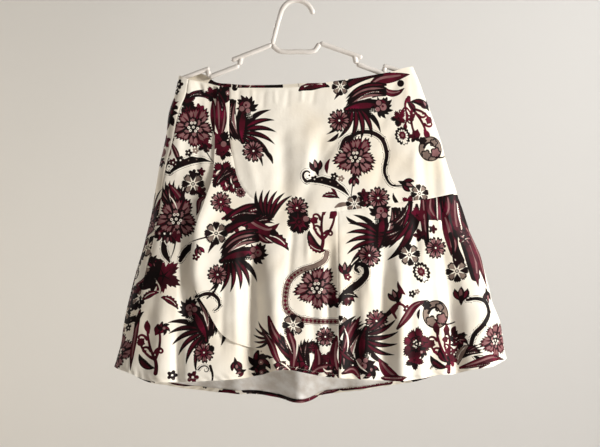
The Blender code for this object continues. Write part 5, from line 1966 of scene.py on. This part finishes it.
def stitch_beads(at, out):
    """Beads of thread at the points, each along the row."""
    along = np.gradient(at, axis=0)
    along /= np.linalg.norm(along, axis=1, keepdims=True)
    side = np.cross(along, out)
    turns = np.linspace(0, 2 * math.pi, BEAD_SIDES, endpoint=False)
    points, faces = [], []
    for centre, a, s, o in zip(at, along, side, out):
        base = len(points)
        for place, share in BEAD:
            for turn in turns:
                ring = s * math.cos(turn) + o * math.sin(turn) * STITCH_FLATNESS
                points.append(centre + a * place * STITCH_LONG + ring * share * STITCH_THICK / 2)
        for i in range(len(BEAD) - 1):
            for j in range(BEAD_SIDES):
                k = (j + 1) % BEAD_SIDES
                low, high = base + i * BEAD_SIDES, base + (i + 1) * BEAD_SIDES
                faces.append((low + j, low + k, high + k, high + j))
        last = base + (len(BEAD) - 1) * BEAD_SIDES
        faces.append(tuple(base + j for j in range(BEAD_SIDES))[::-1])
        faces.append(tuple(last + j for j in range(BEAD_SIDES)))
    return points, faces


def stitches():
    """Sew all the hems, as one mesh."""
    beads, skins = [], []
    for hem_line, rise in (
        (left_hem[: len(left_hem) * SEEN_TENTHS // 10], under_lap),
        (centre_hem, lap_lift),
        (right_hem, flush),
        (right_back_hem, flush),
        (left_back_hem, flush),
    ):
        at, out = hem_row(hem_line, rise)
        points, faces = stitch_beads(at, out)
        skins += [tuple(i + len(beads) for i in face) for face in faces]
        beads += points
    mesh = bpy.data.meshes.new("hem_stitches")
    mesh.from_pydata([tuple(p) for p in beads], [], skins)
    mesh.shade_smooth()
    mesh.materials.append(THREAD)
    hang("hem_stitches", mesh)
    print("stitches:", len(skins) // ((len(BEAD) - 1) * BEAD_SIDES + 2))


stitches()

# %% [markdown]
# ## The hanger
#
# A moulded hanger is one tube that forks at soft corners. Its centrelines are the frame's: the hook,
# the dropped bar, two arms that step down twice, and the tips that sit in the waist's corners. The
# bars are remeshed into one skin and smoothed a little, which leaves the fillets of a real moulding.

# %% Hanger
TUBE_RADIUS, TIP_RADIUS, TIP_REACH = 0.0046, 0.0040, 0.6
TUBE_SIDES = 6  # bevel resolution: 16 sides
HOOK_RADIUS = 0.0285
HOOK_CENTRE = (-0.0040, -HOOK_RADIUS + TUBE_RADIUS)
HOOK_END_ANGLE, HOOK_STEM_ANGLE, HOOK_POINTS = 7.0, 163.0, 25
DIP = metres(
    (-47.6, -73.5), (-40.2, -80.2), (-34.5, -84), (-28, -85.2), (-3, -85.2),
    (21.5, -85), (27, -83.8), (30.5, -79.5), (36.4, -70.2),
)
# Each arm steps down twice, in four straight bars
ARMS = (
    metres((-47.6, -73.5), (-118.5, -100.8)),
    metres((-101, -95), (-104.6, -109.8)),
    metres((-104.6, -109.8), (-157.5, -130)),
    metres((-157.5, -130), (-160, -116.5)),
    metres((36.4, -70.2), (111, -96.2)),
    metres((96.5, -91.5), (100.3, -106.8)),
    metres((100.3, -106.8), (148, -124)),
    metres((148, -124), (150, -111.5)),
)
LEFT_TIP = ((-0.1560, -0.1140), -0.1330)  # inner end, and height of the outer end
RIGHT_TIP = ((0.1465, -0.1095), -0.1270)
END_ROUNDING = ((0.0, 0.05), (0.05, 0.31), (0.18, 0.57), (0.45, 0.84), (0.7, 0.95), (1.0, 1.0))
MOULD_VOXEL = 0.00085
MOULD_SMOOTHING = 5


def bar(points, radius):
    """A round bar with rounded ends along some (x, z)."""
    path = curve(points, radius / 2)
    run = run_along(path)
    ends, shares = np.array(END_ROUNDING).T
    rounding = radius * ends
    inner = run[(run > radius) & (run < run[-1] - radius)]
    places = np.concatenate([rounding, inner, run[-1] - rounding[::-1]])
    from_end = np.minimum(places, run[-1] - places)
    thickness = np.interp(from_end, rounding, shares)
    data = bpy.data.curves.new("bar", "CURVE")
    data.dimensions = "3D"
    data.bevel_depth = radius
    data.bevel_resolution = TUBE_SIDES
    data.use_fill_caps = True
    line = data.splines.new("POLY")
    line.points.add(len(places) - 1)
    for point, (x, z), share in zip(line.points, read_along(places, run, path), thickness):
        point.co = (x, 0.0, z, 1.0)
        point.radius = share
    bent = bpy.data.objects.new("bar", data)
    mesh = bpy.data.meshes.new_from_object(bent)
    bpy.data.objects.remove(bent)
    return mesh


def hook_line():
    """Centreline of the hook: stem, round, and the free end."""
    cx, cz = HOOK_CENTRE
    angles = np.radians(np.linspace(HOOK_STEM_ANGLE, HOOK_END_ANGLE, HOOK_POINTS))
    return [DIP[0], *((cx + HOOK_RADIUS * math.cos(a), cz + HOOK_RADIUS * math.sin(a)) for a in angles)]


def hanger():
    """Join the bars, melt them into one moulding, and put it in the solid's place."""
    left_in, left_z = LEFT_TIP
    right_in, right_z = RIGHT_TIP
    left_x = float(section("left", left_z)) + LAYER + TIP_RADIUS * TIP_REACH
    right_x = float(section("right", right_z)) - LAYER - TIP_RADIUS * TIP_REACH
    bars = [bar(points, TUBE_RADIUS) for points in (DIP, hook_line(), *ARMS)]
    bars += [bar((left_in, (left_x, left_z)), TIP_RADIUS), bar((right_in, (right_x, right_z)), TIP_RADIUS)]
    joined_bars = bmesh.new()
    for mesh in bars:
        joined_bars.from_mesh(mesh)
    mesh = bpy.data.meshes.new("moulded_hanger")
    joined_bars.to_mesh(mesh)
    joined_bars.free()
    piece = hang("moulded_hanger", mesh, HANGER)
    mould = piece.modifiers.new("one moulding", "REMESH")
    mould.mode, mould.voxel_size, mould.use_smooth_shade = "VOXEL", MOULD_VOXEL, True
    soften = piece.modifiers.new("fillets", "SMOOTH")
    soften.factor, soften.iterations = 0.5, MOULD_SMOOTHING
    made = bpy.data.meshes.new_from_object(piece.evaluated_get(bpy.context.evaluated_depsgraph_get()))
    piece.modifiers.clear()
    piece.data = made
    made.materials.clear()
    made.materials.append(PLASTIC)
    print("hanger:", len(made.polygons), "faces")


hanger()

# %% [markdown]
# ## The zip
#
# The concealed zip at the centre back shows only its slider and pull tab. Their solids already have
# the real shape, so they stay and only get their metal.

# %% Zip
for node in ("zip_slider", "zip_pull"):
    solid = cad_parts[node]
    solid.data.materials.clear()
    solid.data.materials.append(NICKEL)
    print(node, "is", NICKEL.name)

# %% [markdown]
# ## The size of the skirt
#
# The dressed skirt should fill the same box as its solids. Both boxes are printed.

# %% Finish
dressed_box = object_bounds()
for name, (low, high) in (("solids", cad_box), ("dressed", dressed_box)):
    print(name, [round((b - a) * 1000, 1) for a, b in zip(low, high)], "mm")
